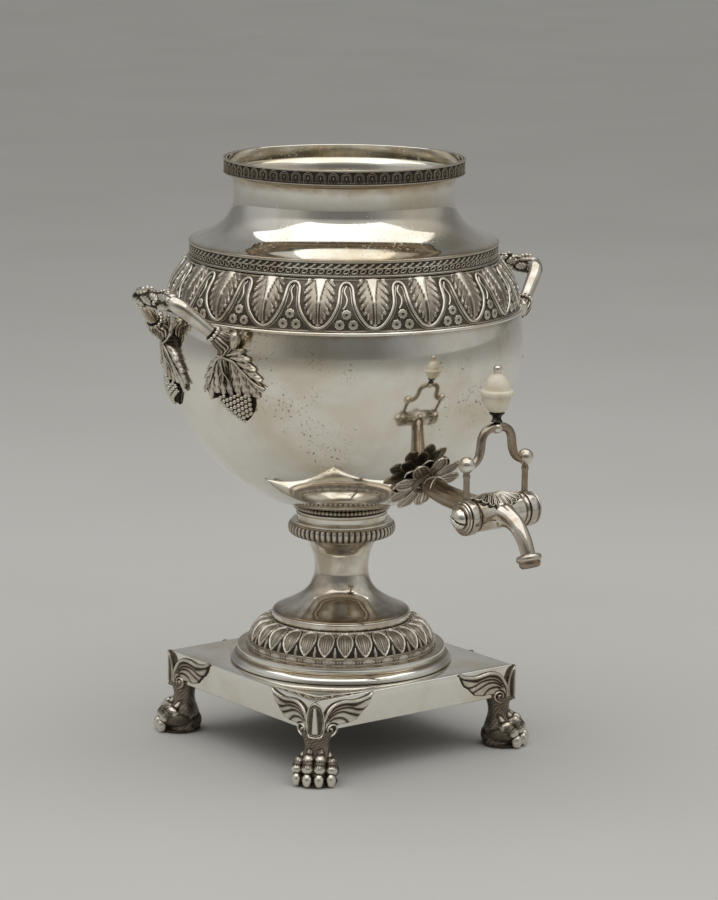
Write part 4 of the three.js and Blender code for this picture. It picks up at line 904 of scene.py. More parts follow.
# Rings between the bowl and the stem
beading = {
    "count": 72, "radius": 30.3, "level": 155.05, "ball": 1.35,
    "seat": [
        (28.9, 150.25), (28.9, 151.6), (29.6, 151.9), (29.7, 152.5), (29.2, 152.9), (29.2, 155.3),
        (29.8, 156.4), (17, 154.5), (17, 150.25)
    ],
    "seatShade": [0.1, 0.1, 0.2, 0.2, 0.9, 0.95, 0.95, 0.9, 0.9],
}
collar = {
    "line": [
        (29.2, 151.2), (29.6, 150.5), (28.9, 150.2), (28.9, 147.2), (29.6, 146.5), (31.6, 146.3),
        (32, 145.9), (32, 145.05), (17, 145.05), (17, 151.2)
    ]
}
gadroon = {
    "line": [
        (32.6, 145), (33.9, 144.1), (34.8, 142.3), (35.0, 140.2), (34.6, 138.3), (33.4, 136.7),
        (31.4, 135.7), (29.2, 135.4)
    ],
    "copies": 56, "columns": 12, "rows": 24, "relief": 1.6,
    "back": [(28.5, 135.5), (28.5, 136.6), (17, 136.6), (17, 145)],
}


def makeUnderRings():
    b = beading
    angle = np.arange(b["count"]) * 2 * np.pi / b["count"]
    balls = ballShapes(aroundUrn(b["radius"], angle, b["level"]), b["ball"], 10, 7, 0.4)
    seat = turnedShape(b["seat"], 96, b["seatShade"])
    addPiece("bowlBeads", [balls, seat], "chased", ["bowl_beading"])
    line = smoothPath(collar["line"][:8], 40)
    line = np.vstack([line, collar["line"][8:]])
    addPiece("turnedCollar", turnedShape(line, 96), "aged", ["collar_ring"])
    g = gadroon
    line = evenPath(g["line"], g["rows"])
    lobe = np.sqrt(limited(1 - (2 * columnPlaces(g["columns"])) ** 2))[None, :]
    down = np.linspace(0, 1, g["rows"])[:, None]
    height = lobe * limited(down * 8) * (1 - 0.35 * down)
    height = highest(height, 0.95 * ridge(down - 0.02, 0.05), 0.9 * ridge(down - 0.98, 0.09))
    relief = g["relief"] * (1 - height) * np.interp(down, [0, 0.15, 0.8, 1], [0.4, 1, 1, 0.5])
    shape = carvedShape(line, relief, g["copies"], 0, g["back"], g["relief"] * 0.6)
    addPiece("gadroonRing", shape, "chased", ["gadroon_ring"], 60)


makeUnderRings()

# The trumpet stem and the round moulding at its foot
stem = {
    "outer": [
        (28, 136.5), (26.2, 135.9), (24.3, 134.4), (22.3, 131.8), (20.6, 128.6), (18.85, 124.4),
        (17.85, 119.7), (17.45, 115.2), (17.6, 110.9), (18.9, 106.2), (21.1, 101.6), (25.2, 97.2),
        (32.3, 92.6), (39.5, 89), (43, 87.2), (43.9, 86.3),
    ],
    "wall": 1.2, "levels": (86.3, 136.5),
    # Darkening by level: painted shade, with stain, towards both ends where the stem meets the rings, and a
    # little at the waist
    "stainAndShade": ([86, 89, 95, 112, 128, 134, 136.5], [0.5, 0.24, 0.12, 0.2, 0.1, 0.3, 0.6]),
}
stemRing = {
    "back": [(41, 81.2), (41, 86.2)],
    "line": [
        (43.9, 86.2), (44.5, 86.0), (44.95, 85.2), (45.0, 83.9), (44.9, 82.4), (44.5, 81.5), (44.2, 81.2)
    ]
}


def makeStem():
    outer = smoothPath(stem["outer"], 90)
    inner = (outer - lineNormals(outer) * stem["wall"])[::-3]
    inner[:, 1] = np.clip(inner[:, 1], *stem["levels"])
    line = np.vstack([outer, inner])
    shape = turnedShape(line, 128, np.interp(line[:, 1], *stem["stainAndShade"]))
    addPiece("trumpetStem", shape, "aged", ["stem"])
    line = np.vstack([smoothPath(stemRing["line"], 26), stemRing["back"]])
    addPiece("stemMoulding", turnedShape(line, 144), "aged", ["stem_ring"])


makeStem()
print("stem and rings made")

# The dome of lotus leaves: a leaf hangs in each tile before an arch, and a dart fills the foot between two
dome = {
    "down": 21, "swell": 1.4, "veinPitch": 1.45, "veinTop": 5, "arch": 1.55, "archFoot": 8.5,
    "topRib": (0.4, 0.6), "footRib": (20.8, 0.4),
    "line": [
        (44.4, 81.15), (46.5, 80.9), (50.2, 80.0), (53.6, 78.3), (56.3, 75.9), (58.3, 73.1), (59.7, 70.2),
        (60.45, 67.25)
    ],
    "copies": 28, "columns": 36, "rows": 50, "turn": -85.6, "relief": 1.6,
    "span": [1.6, 2.2, 3.6, 6, 9, 12.2, 15.4, 18.2, 20.2],
    "half": [0, 1.9, 3.3, 4.4, 5.1, 4.95, 3.8, 1.9, 0],
    "dart": ([13.5, 17, 19.4, 20.4], [0, 1.1, 1.3, 0.2]),
    "back": [(57.4, 67.25), (50, 76.5), (41.8, 81.15)],
}
beadReel = {
    "beadHalf": (4.3, 1.5), "reelAcross": 5.6, "reelHalf": 0.7, "fillet": 0.35,
    "copies": 30, "columns": 32, "rows": 14, "relief": 0.6, "radius": 61.75, "top": 67.2, "height": 3.8,
    "turn": -86, "back": [(57.6, 63.4), (57.6, 67.2)]
}


def makeDome():
    # Heights of one tile: x across from the leaf's middle, s down from the dome's top
    b = dome
    line = evenPath(b["line"], b["rows"])
    run = np.linspace(0, np.linalg.norm(np.diff(line, axis=0), axis=1).sum(), b["rows"])
    s = (run * b["down"] / run[-1])[:, None] * np.ones((1, b["columns"]))
    wide = 2 * math.pi * line[:, :1] / b["copies"]
    x = columnPlaces(b["columns"]) * wide
    ax = np.abs(x)
    left = np.stack([np.r_[b["half"], -np.array(b["half"][::-1])], np.r_[b["span"], b["span"][::-1]]], -1)
    deep = insideDistance(x, s, left)
    inner = limited(deep / b["swell"])
    veins = 0.12 * np.cos(2 * np.pi * x / b["veinPitch"]) * limited((s - b["veinTop"]) / 4)
    rib = 0.2 * ridge(ax, 0.45) * (s > b["veinTop"])
    leaf = np.where(deep > 0, 0.14 + 0.28 * np.sqrt(inner) + veins + rib, 0.13)
    border = ridge(np.abs(deep - 0.1), 0.75) ** 0.7
    arch = 0.75 * ridge(np.abs(-deep - b["arch"]), 0.6) * (deep < 0) * (s < b["archFoot"])
    side = wide / 2 - ax
    levels = b["dart"][0]
    dart = np.where(side < np.interp(s, *b["dart"]), 0.6 + 0.3 * ridge(side, 0.4), 0)
    dart = dart * (s > levels[0]) * (s < levels[-1])
    height = highest(
        leaf, border, arch, dart, 0.9 * levelRib(s, b["topRib"]), 0.8 * levelRib(s, b["footRib"])
    )
    addCarved("lotusDome", b, line, height, "leaf_dome")


def makeBeadReel():
    # Long oval beads with a pair of thin reels between them
    b = beadReel
    x, s, _ = tileGrid(b)
    middle = b["height"] / 2
    halfLong, halfTall = b["beadHalf"]
    oval = np.hypot(x / halfLong, (s - middle) / halfTall)
    bead = highest(0.95 * ridge(oval - 0.82, 0.2) ** 0.6, np.where(oval < 0.62, 0.85, 0.35))
    reels = ridge(np.abs(x) - b["reelAcross"], b["reelHalf"]) * ridge(s - middle, halfTall) ** 0.4
    edges = np.where((s < b["fillet"]) | (s > b["height"] - b["fillet"]), 0.85, 0)
    line = np.stack([np.full(b["rows"], b["radius"]), b["top"] - s[:, 0]], -1)
    addCarved("beadAndReel", b, line, highest(bead, 0.9 * reels, 0.4, edges), "bead_reel_band")


makeDome()
makeBeadReel()

footSteps = {
    "line": [
        (58, 63.4), (66.5, 63.4), (67.2, 63.15), (67.5, 62.6), (67.5, 59.9), (67.35, 59.5), (67.9, 59.2),
        (68.3, 58.9), (68.2, 58.55), (68.75, 58.3), (69.6, 57.9), (70.5, 57.3), (71.3, 56.5), (71.8, 55.6),
        (72.0, 54.7), (71.9, 53.95), (71.3, 53.55), (70.3, 53.55), (70.3, 55.6), (66, 57.4), (66, 61.9),
        (58, 61.9),
    ],
    # Darkening by level: painted shade, with stain, in the grooves and at the foot and top of the steps
    "stainAndShade": (
        [53.5, 54.6, 57.5, 58.3, 58.6, 59.4, 59.8, 62.6, 63.4],
        [0.5, 0.1, 0.1, 0.45, 0.5, 0.4, 0.12, 0.1, 0.4]
    ),
}
plinth = {"half": 79.5, "top": 53.5, "foot": 33.5, "wall": 1.5, "corner": 0.5, "side": 40, "arc": 5}


def squareRings(halves, corner, side, arc):
    # Rings on a square with its corners rounded: each side is a straight run between quarter turns
    t = np.linspace(-1, 1, side)
    a = np.linspace(-0.25, 0.25, arc + 2)[1:-1] * np.pi
    halves = np.asarray(halves, float)[:, None]
    radius = np.minimum(corner, halves * 0.5)
    flat = np.stack([halves + 0 * t, (halves - radius) * t], -1)
    bend = np.stack([halves - radius + radius * wave(a + np.pi / 4) for wave in (np.cos, np.sin)], -1)
    one = np.concatenate([flat, bend], 1)
    turns = [one]
    for _ in range(3):
        last = turns[-1]
        turns.append(np.stack([-last[..., 1], last[..., 0]], -1))
    return np.concatenate(turns, 1)


def makePlinth():
    line = np.array(footSteps["line"])
    stainAndShade = np.interp(line[:, 1], *footSteps["stainAndShade"])
    addPiece("turnedSteps", turnedShape(line, 200, stainAndShade), "bright", ["stepped_base_ring"])
    p = plinth
    h, w = p["half"], p["wall"]
    outline = [
        (6, p["top"]), (30, p["top"]), (55, p["top"]), (70, p["top"]), (h - 0.9, p["top"]),
        (h - 0.45, p["top"] - 0.12), (h - 0.12, p["top"] - 0.45),
        (h, p["top"] - 0.9), (h, 48), (h, 42), (h, 37), (h, p["foot"] + 0.25), (h - 0.25, p["foot"]),
        (h - w + 0.2, p["foot"]),
        (h - w, p["foot"] + 0.25), (h - w, p["top"] - w), (40, p["top"] - w), (6, p["top"] - w),
    ]
    halves, levels = np.array(outline).T
    rings = squareRings(halves, p["corner"], p["side"], p["arc"])
    grid = np.concatenate([rings, np.broadcast_to(levels[:, None, None], rings.shape[:2] + (1,))], -1)
    grid[..., 1] += axisY
    shade = np.where(np.arange(len(levels)) > 13, 1.0, 0.0)[:, None]
    addPiece("foldedPlinth", gridShape(grid, depth=shade), "bright", ["plinth"])


makePlinth()
print("foot plates made")

# Paw feet: x points out along the plinth's diagonal, y across, both from the urn's axis
foot = {
    # level, back, front, half width of the leg down into the paw
    "leg": [
        (33.2, 94.6, 112.4, 10.9), (30, 95.6, 111.4, 9.4), (26, 96.6, 110.4, 7.9), (22.5, 96.9, 110.6, 7.7),
        (19, 96.3, 111.6, 8.6), (15.5, 95.2, 113.2, 10.2), (12, 94.2, 114.6, 11.4), (8, 93.8, 115, 12),
        (4, 94, 114.6, 12), (1, 94.6, 113.8, 11.6), (0.4, 95.5, 112.5, 11),
    ],
    # place, half lengths
    "pads": [
        ((98.2, 0, 6.6), (5.9, 9.8, 6.9)), ((106.8, 9.8, 8.6), (9.2, 4.6, 4.6)),
        ((106.8, -9.8, 8.6), (9.2, 4.6, 4.6))
    ],
    "sole": [((107, 0, 1.4), (14.2, 13.6, 1.4))],
    # for one side: tendon, first joint, knuckle and claw places
    "toes": [
        {
            "tendon": [(106, 2.4, 24), (110.4, 3.4, 20.4), (114.2, 4.1, 16.6)], "joint": (113.6, 3.8, 16.0),
            "knuckle": (117.6, 3.7, 11.6), "claw": (120.0, 3.7, 4.9)
        },
        {
            "tendon": [(103.5, 5.8, 22), (106.6, 8.2, 17.6), (109.6, 10.0, 14)],
            "joint": (109.6, 10.2, 13.2), "knuckle": (114.4, 10.9, 10.6), "claw": (116.8, 10.8, 4.7)
        },
    ],
    "tendonRadii": [1.2, 1.9, 2.8], "jointSize": (4.93, 3.7, 4.37), "knuckleSize": (3.71, 3.83, 3.6),
    "clawSize": (3.5, 3.1, 4.4), "linkRadius": 3.4,
}
# The wing on each skirt: places along the skirt from the corner, and levels
wing = {
    "area": ((1.5, 27.5), (45.5, 53.4), (176, 106)), "relief": 2.1, "edge": 1.35, "skin": 0.35, "back": -0.05,
    "rib": [
        (43.6, 52.9), (40.9, 51.2), (36.5, 50.1), (31.5, 49.4), (27.5, 49.6), (23.5, 50.2), (19.5, 50.4),
        (15.5, 49.9), (11.9, 48.4), (8.9, 45.6), (6.6, 42.2), (4.9, 38.9), (4.5, 36), (4.8, 33.2),
        (6.5, 30.9), (9.2, 30.0), (12.1, 30.5), (14.4, 32.1), (15.3, 34.1), (14.9, 35.9), (13.2, 36.9),
        (11, 37.0), (9.1, 35.9), (8.2, 34.2), (8.9, 32.5), (10.6, 32.2), (11.8, 33.2), (11.5, 34.6),
        (10.5, 34.5),
    ],
    "trailing": [
        (44, 53.1), (43.2, 50.4), (41, 46.1), (39.8, 44.3), (36.5, 42.5), (33.9, 39.8), (31.4, 37.7),
        (24.8, 36.2), (19.9, 36.4), (16.2, 36.0)
    ],
    "grooves": [
        [
            (41, 50.2), (35.7, 47.9), (30, 46.7), (25.9, 47.6), (22.6, 48.3), (17.7, 48.2), (12.7, 46.6),
            (8.6, 43.4)
        ],
        [
            (40.4, 44.7), (36.5, 43.3), (31.6, 43.9), (27.5, 45.4), (23.4, 46.2), (18.5, 46.2),
            (13.5, 44.9), (9.5, 41.9)
        ],
        [(34, 39.4), (29, 41.0), (25, 42.5), (20.9, 43.9), (15.9, 43.8), (11.8, 42.3), (8.6, 39.8)],
        [(24.8, 36.2), (22.4, 38.6), (19.2, 40.2), (14.2, 40.6), (10.4, 39.4)],
    ],
}
lancet = {
    "area": ((-9.2, 30), (9.2, 53.6), (75, 90)), "relief": 2.0, "skin": 1.2, "back": -0.05,
    "levels": [30.2, 32.5, 36, 40, 44, 47.5, 50.5, 53.4], "half": [2.4, 4.2, 5.1, 5.4, 4.9, 3.8, 2.4, 0.2],
}
cornerRound = 2.2
cornerReach = plinth["half"] * math.sqrt(2)


def onCorner(along, level, lift):
    # A place on the two skirts at a corner: a small round, then straight on, lifted along the normal
    bend = cornerRound * np.pi / 4
    turn = np.clip(along / cornerRound, -np.pi / 4, np.pi / 4)
    rest = np.sign(along) * np.maximum(np.abs(along) - bend, 0)
    out = cornerReach - cornerRound * math.sqrt(2) + (cornerRound + lift) * np.cos(turn) - rest * np.sin(turn)
    side = (cornerRound + lift) * np.sin(turn) + rest * np.cos(turn)
    return np.stack([out, side, level + 0 * out], -1)


def wingPlate():
    x, z = meshgrid(*wing["area"])
    rib = evenPath(wing["rib"], 150)
    outline = np.vstack([rib[:99], wing["trailing"][::-1]])
    inside = insideDistance(x, z, outline)
    gap = np.minimum(lineDistance(x, z, rib[:100]), lineDistance(x, z, rib[99:]) + 0.45)
    grooves = np.min([lineDistance(x, z, evenPath(g, 30)) for g in wing["grooves"]], 0)
    feathers = limited(inside / 0.9 + 0.2) ** 0.5
    plumes = 1 - np.exp(-((grooves / 0.8) ** 1.6))
    height = np.where(inside > -0.6, feathers * (0.2 + 0.5 * plumes + 0.05 * np.cos(6 * x + 4 * z)), -0.5)
    rise = np.where(gap < wing["edge"], ridge(gap, wing["edge"]) ** 0.5, -0.5)
    height = np.maximum(np.where(gap < 2.0, np.minimum(height, 0.25), height), rise)
    keep = (inside > -0.25) | (gap < 1.4)
    lift = np.clip(height, -0.2, 1) * wing["relief"] + wing["skin"]
    return plateShape(x, z, lift, wing["back"], keep, onCorner, limited(0.92 - height * 1.1))


def lancetPlate():
    x, z = meshgrid(*lancet["area"])
    outline = smoothPath(mirroredLine(np.stack([lancet["half"], lancet["levels"]], -1)), 90)
    inside = insideDistance(x, z, outline)
    rim = np.maximum(ridge(inside - 0.6, 0.62) ** 0.6, 0.7 * ridge(inside - 1.75, 0.4))
    bone = ridge(np.abs(x), 0.35 + 0.05 * (53.6 - z)) ** 0.6 * (z > 33) * (z < 50)
    base = 0.7 * ridge(z - 30.8, 1.0)
    field = 0.4 + 0.16 * np.cos(6.5 * (x + z)) * np.cos(6.5 * (x - z))
    height = highest(field, rim, 0.95 * bone, 0.9 * base)
    lift = lancet["skin"] + lancet["relief"] * height
    return plateShape(x, z, lift, lancet["back"], inside > -0.1, onCorner, limited(1.0 - height))


def eggShape(centre, half, columns=26, rows=16, flatBelow=0.15, depth=0.0):
    # A closed egg with its own half lengths, cut flat where it would sink below the floor
    egg = ballShapes([(0, 0, 0)], 1, columns, rows, depth)
    points = egg["points"] * np.asarray(half, float) + np.asarray(centre, float)
    points[:, 2] = np.maximum(points[:, 2], flatBelow)
    return dict(egg, points=points)


def squareOff(wave):
    return np.sign(wave) * np.abs(wave) ** 0.85


def pawShapes():
    levels, back, front, half = smoothPath(foot["leg"], 50).T
    angle = fullTurn(56)
    x = ((back + front) / 2)[:, None] + ((front - back) / 2)[:, None] * squareOff(np.cos(angle))
    y = half[:, None] * squareOff(np.sin(angle))
    z = levels[:, None] + 0 * x
    hair = 0.08 * np.cos(14 * angle + 1.5 * levels[:, None]) * np.cos(3.4 * levels[:, None] - 6 * angle)
    shapes = [gridShape(np.stack([x, y * (1 + 0.06 * hair), z], -1), depth=0.5 - 2 * hair)]
    shapes += [eggShape(place, size, 34, 22, depth=0.6) for place, size in foot["pads"]]
    shapes += [eggShape(place, size, 44, 12, 0.0, 0.6) for place, size in foot["sole"]]
    radii = smoothValues(foot["tendonRadii"], 20)
    for toe in foot["toes"]:
        for side in (-1, 1):
            flip = np.array([1, side, 1])
            tendon = evenPath(np.array(toe["tendon"]) * flip, 20)
            shapes.append(tubeShape(tendon, radii, 16, up=(1, 0, 0.6), depth=0.3))
            joint, knuckle, claw = (np.array(toe[k]) * flip for k in ("joint", "knuckle", "claw"))
            shapes.append(eggShape(joint, foot["jointSize"]))
            link = evenPath([joint, (joint + knuckle) / 2 + (0, 0, 0.8), knuckle], 10)
            shapes.append(tubeShape(link, foot["linkRadius"], 16, up=(1, 0, 0.6), depth=0.45))
            shapes.append(eggShape(knuckle, foot["knuckleSize"]))
            shapes.append(eggShape(claw, foot["clawSize"]))
    # Painted shade, with dark oxide, in the creases where the paw's pieces meet
    return joinShapes(shadedCreases(shapes, 0.85, 0.95))


def makeFeet():
    plate = wingPlate()
    mirrored = makeShape(**dict(plate, points=plate["points"] * (1, -1, 1)))
    whole = joinShapes([pawShapes(), plate, mirrored, lancetPlate()])
    for i, name in enumerate(("foot_front_left", "foot_front_right", "foot_back_right", "foot_back_left")):
        turn = math.radians(-135 + 90 * i)
        c, s = math.cos(turn), math.sin(turn)
        x, y, z = whole["points"].T
        placed = dict(whole, points=np.stack([c * x - s * y, s * x + c * y + axisY, z], -1))
        words = name.split("_")
        addPiece("paw" + words[1].title() + words[2].title(), placed, "cast", [name], 50)


makeFeet()
print("feet made")

# Handles, drawn at +X and turned half round for the other side
handle = {
    "bar": (143.5, 0, 301),
    "arm": [
        (125.4, 31.5, 283.7), (129.5, 29.4, 287.8), (134, 27, 292.2), (138.2, 24.6, 296.2),
        (141.2, 22.2, 299.2), (143, 18.5, 300.9), (143.5, 12, 301)
    ],
    "armRadii": [3.9, 4.2, 4.45, 4.6, 4.8, 4.9, 4.6], "crossRadius": 4.4, "collarPlace": (123.7, 32.4, 282),
    "collarBall": 1.3, "collarCount": 12, "collarRing": 4.75,
    "collarCore": [
        (-1.9, 3.4), (-1.7, 4.2), (-1.2, 4.2), (-0.9, 3.7), (0.9, 3.7), (1.2, 4.4), (1.7, 4.4), (1.9, 3.7)
    ],
    "rootSlope": (19.8, -10.4, 19),
}


def onAxis(shape):
    # Shapes drawn round the origin are carried to the urn's own axis
    return dict(shape, points=shape["points"] + (0, axisY, 0))


def handleShape():
    half = np.array(handle["arm"])
    whole = np.vstack([half, handle["bar"], half[::-1] * (1, -1, 1)])
    radii = np.r_[handle["armRadii"], handle["crossRadius"], handle["armRadii"][::-1]]
    bar = tubeShape(evenPath(whole, 120), smoothValues(radii, 120), 24, up=(0.3, 0.1, 1), depth=0.2)
    return onAxis(bar)


def rootDirection(sign):
    return unit(np.array(handle["rootSlope"]) * (1, sign, 1))


def collarShape(sign):
    base = np.array(handle["collarPlace"]) * (1, sign, 1)
    direction = rootDirection(sign)
    across = unit(np.cross(direction, (0, 0, 1.0)))
    over = np.cross(across, direction)
    angle = np.arange(handle["collarCount"])[:, None] * 2 * np.pi / handle["collarCount"]
    ring = base + handle["collarRing"] * (across * np.cos(angle) + over * np.sin(angle))
    balls = ballShapes(ring, handle["collarBall"], 10, 7)
    core = spunShape(base, direction, handle["collarCore"], 32, depth=0.75)
    return onAxis(joinShapes([balls, core]))


# Vine wrapped over the crossbar, drawn flat: along the bar and round it, with berries and smooth leaf ends
vine = {
    "sleeve": 4.9, "turn": 0.6, "half": 19.2, "columns": 132, "rows": 120,
    "veins": [
        (-19, -4, -8, -6.5, 2.6), (-18, 1, -7, 2.5, 2.8), (-19, 6, -8, 8.5, 2.6), (-16, 12, -6, 13.5, 2.4),
        (-17, -9, -6, -12, 2.4), (-9, -2, 1.5, -4.5, 2.6), (-8, 5.5, 3, 5.5, 2.8), (-7, 10, 3.5, 11.5, 2.4),
        (-8, -8.5, 2, -9.5, 2.4), (9, -2, -1, 0.8, 2.6), (19, -5, 8, -6.5, 2.8), (18, 0, 7, 1.5, 2.8),
        (19, 6, 8, 5.5, 2.6), (17, 11, 6, 10, 2.4), (17, -10, 5, -11, 2.4), (-2, 14.5, 8, 15, 2.2),
        (-3, -14, 8, -15, 2.2),
    ],
    "berries": [
        (-10.5, 2.6), (-8.6, 4.2), (-10.9, 5.2), (-8.9, 6.7), (5.2, 6.6), (7.1, 8.1), (4.9, 9.2),
        (6.6, -3.4), (8.4, -1.8), (-2, 8.8), (-0.4, 10.2), (-12, -8), (-10.2, -9.4)
    ],
    "berry": 1.35,
}


def onBar(along, round_, lift):
    # A place on the crossbar: along it, round it from its outer side upwards, lifted off its sleeve
    turn = round_ / vine["sleeve"] + vine["turn"]
    out = vine["sleeve"] + lift
    reach, _, level = handle["bar"]
    return np.stack([reach + out * np.cos(turn), along + 0 * out, level + out * np.sin(turn)], -1)


def vineShapes():
    v = vine
    girth = math.pi * v["sleeve"]
    columns = np.linspace(-girth, girth, v["columns"], endpoint=False)
    round_, along = np.meshgrid(columns, np.linspace(-v["half"], v["half"], v["rows"]))
    best, height = veinField(along, round_, v["veins"], 3.2)
    height = np.where(best > 0, height, 0.1 + 0.1 * np.cos(2.4 * round_))
    # Two smooth leaf ends reach onto the arms, each with a notch down its middle
    end = v["half"] - np.abs(along)
    tongue = 4.2 - 0.75 * np.abs(round_ - 2)
    smooth = limited((tongue - end) / 0.6)
    notch = ridge(round_ - 2, 0.7) * limited(1.4 - end * 0.3)
    height = height * (1 - smooth) + (0.8 - 0.7 * notch) * smooth
    taper = limited(end / 1.2) ** 0.5
    places = onBar(along, round_, (0.1 + 1.1 * height) * taper - 0.5 * (1 - taper))
    leaves = gridShape(places, depth=limited(0.82 - 0.95 * height))
    berries = ballShapes(onBar(*np.array(v["berries"]).T, 1.45), v["berry"], 12, 8, 0.05)
    return onAxis(joinShapes([leaves, berries]))


# The mount on the bowl as it shows in the photo, across and up from its middle; lean and droop shift a
# spot by how far it stands off the bowl
mount = {
    "area": ((-27, -40), (27, 11), (200, 190)), "angle": 17, "level": 263, "knot": (-8.5, 3.4),
    "lean": 0.73, "droop": 0.15,
    "lobes": [
        (-7, 4.0, 7.6, 8.4, 2.6), (-3.6, 3.0, 12.6, 3.2, 3.0), (1.5, 1.2, 16.8, -2.8, 3.1),
        (6.0, -2.6, 20.4, -8.8, 3.2), (10.0, -6.2, 20.8, -15.8, 3.2), (10.4, -6.6, 17, -20.6, 3.2),
        (4.6, -2.2, 10.6, -20.4, 3.2), (-0.6, 1.6, 4, -19.6, 3.0), (-6.4, 2.6, -2.2, -20.6, 3.0),
        (-8.8, 2.4, -8, -21.4, 2.9), (-11.6, 0.2, -13.8, -23.6, 3.0), (-15.2, -7.2, -20.2, -24.8, 2.9),
        (-9.8, 3.0, -19.8, -5.2, 2.6), (-13.4, -2.8, -23.4, -11.6, 2.6), (-16.4, -9.2, -25, -18.6, 2.6),
    ],
    "wires": [
        [
            (-8.5, 3.4), (-3.6, 2.7), (1.9, 0.8), (6.3, -3), (10, -5.8), (13.9, -9.2), (18.5, -11.9),
            (22.4, -13.4)
        ],
        [(-8.5, 3.4), (-11.7, 0.5), (-14.3, -4.7), (-16.6, -10.1), (-20, -15), (-24, -20.1)],
        [(-15, 11.4), (-13.7, 6.4), (-8.5, 3.4), (-3.1, 7.6), (-0.5, 13.4), (-1.1, 17.5)],
        [(-8.5, 3.4), (-7.4, -1.5), (-6.2, -6), (-6.8, -11)], [(-6.8, -5), (-3.2, -9), (-1.4, -13)],
        [(-6.8, -5), (-10, -9), (-10.6, -13)],
    ],
    "wireRadii": [0.8, 0.75, 0.7, 0.4, 0.35, 0.35],
    "grapes": [
        (-17.1, -20.2), (-12.7, -25.6), (-8.7, -29.7), (-4.2, -33.7), (-0.2, -36.7), (3, -38), (6.9, -35.5),
        (11.2, -30.4), (13.8, -24.4), (13.3, -18.4), (7, -16.6), (1, -18.6), (-5, -19.6), (-11, -19.4),
    ],
    "outline": [
        (-12, 6.5), (-6, 8.6), (4, 8), (10.8, 3.4), (15.6, -2.8), (18.9, -8.8), (19, -15), (15, -20),
        (8, -20), (0, -18.5), (-8, -20.6), (-14, -23.4), (-20.4, -24.4), (-24, -18.5), (-22.6, -11),
        (-18.6, -3.5),
    ],
    "grape": 1.42, "spacing": 3.1, "turn": -35,
}


def mountLift(x, y):
    # The leaf swells towards the knot and falls away to its edge; the grapes bulge below it
    swell = 4.4 * np.exp(-(((x + 8) / 14) ** 2) - ((y - 5) / 13) ** 2)
    return 1.5 + swell + 2.6 * np.exp(-((x / 9) ** 2) - ((y + 27) / 9) ** 2)


def onMount(angle, sign):
    def place(x, y, height):
        base = mountLift(x, y)
        across, up = sign * (x + mount["lean"] * base), y + mount["droop"] * base
        return onBowl(angle, mount["level"], across, up, height)
    return place


def mountPlate(place):
    x, y = meshgrid(*mount["area"])
    best, height = veinField(x, y, mount["lobes"])
    outlines = (smoothPath(mount[k] + mount[k][:1], 90) for k in ("grapes", "outline"))
    bunch, leaf = (insideDistance(x, y, outline) for outline in outlines)
    web = 0.22 + 0.08 * np.cos(2.6 * x + 1.1 * y)
    wires = np.min([lineDistance(x, y, evenPath(w, 40)) for w in mount["wires"][:3]], 0)
    height = np.maximum(height * limited(0.35 + wires / 2.2), 0.8 * ridge(best - 0.5, 0.5))
    height = np.where(best > 0, height, web)
    edge = np.maximum(best, leaf)
    sunk = np.exp(-(((x + 5.5) / 5) ** 2) - ((y + 8) / 7) ** 2)
    height = height - 0.3 * sunk
    base = mountLift(x, y)
    onBunch = (bunch > 0) & ((edge < 0.4) | (y < -19.5))
    curl = 0.3 + 0.7 * limited(edge / 1.3) ** 0.5
    lift = np.where(onBunch, base - 1.1 + 0.8 * limited(bunch / 2), (base + 1.5 * height - 0.3) * curl)
    # Painted shade: under the grapes the plate is as dark as it gets, and the sunk middle and low places
    # between lobes are darker; the raised curled rims are lighter, a painted highlight
    shade = np.where(onBunch, 1.0, limited(1.02 - 1.15 * height + 0.3 * sunk))
    return plateShape(x, y, lift, 0.0, (edge > 0) | (bunch > 0), place, shade)


def wireShapes(place):
    shapes = []
    for line, radius in zip(mount["wires"], mount["wireRadii"]):
        x, y = evenPath(line, 36).T
        path = place(x, y, mountLift(x, y) + 1.35)
        shapes.append(tubeShape(path, radius, 10, up=(1, 0.2, 0.3), depth=0.22))
    return shapes


def grapeShapes(place):
    x, y, inside = latticeInside(mount["grapes"], mount["spacing"], math.radians(mount["turn"]), 0.75)
    lift = mountLift(x, y) + 0.5 + 0.7 * (1 - np.exp(-inside / 2))
    return [ballShapes(place(x, y, lift), mount["grape"], 10, 7, 0.05)]


def budShape(path, radii, lobes, up, sides=60):
    # A closed bud: its sepals have raised bright borders, dark seams between them and a few fine ribs inside
    phase = np.abs((fullTurn(sides) * lobes / (2 * np.pi)) % 1 - 0.5)
    t = np.linspace(0, 1, len(path))[:, None]
    border = ridge(phase - 0.34, 0.1) ** 0.5
    field = 0.38 + 0.1 * np.cos(2 * np.pi * phase / 0.16) + 0.4 * ridge(phase, 0.05)
    height = np.where(phase > 0.46, 0.08, np.maximum(border, np.where(phase < 0.29, field, 0.4)))
    relief = height * 1.3 * np.sin(np.pi * np.clip(t, 0.04, 0.96)) ** 0.6
    return tubeShape(path, radii, sides, up=up, depth=limited(0.98 - 0.95 * height) + 0 * t, relief=relief)


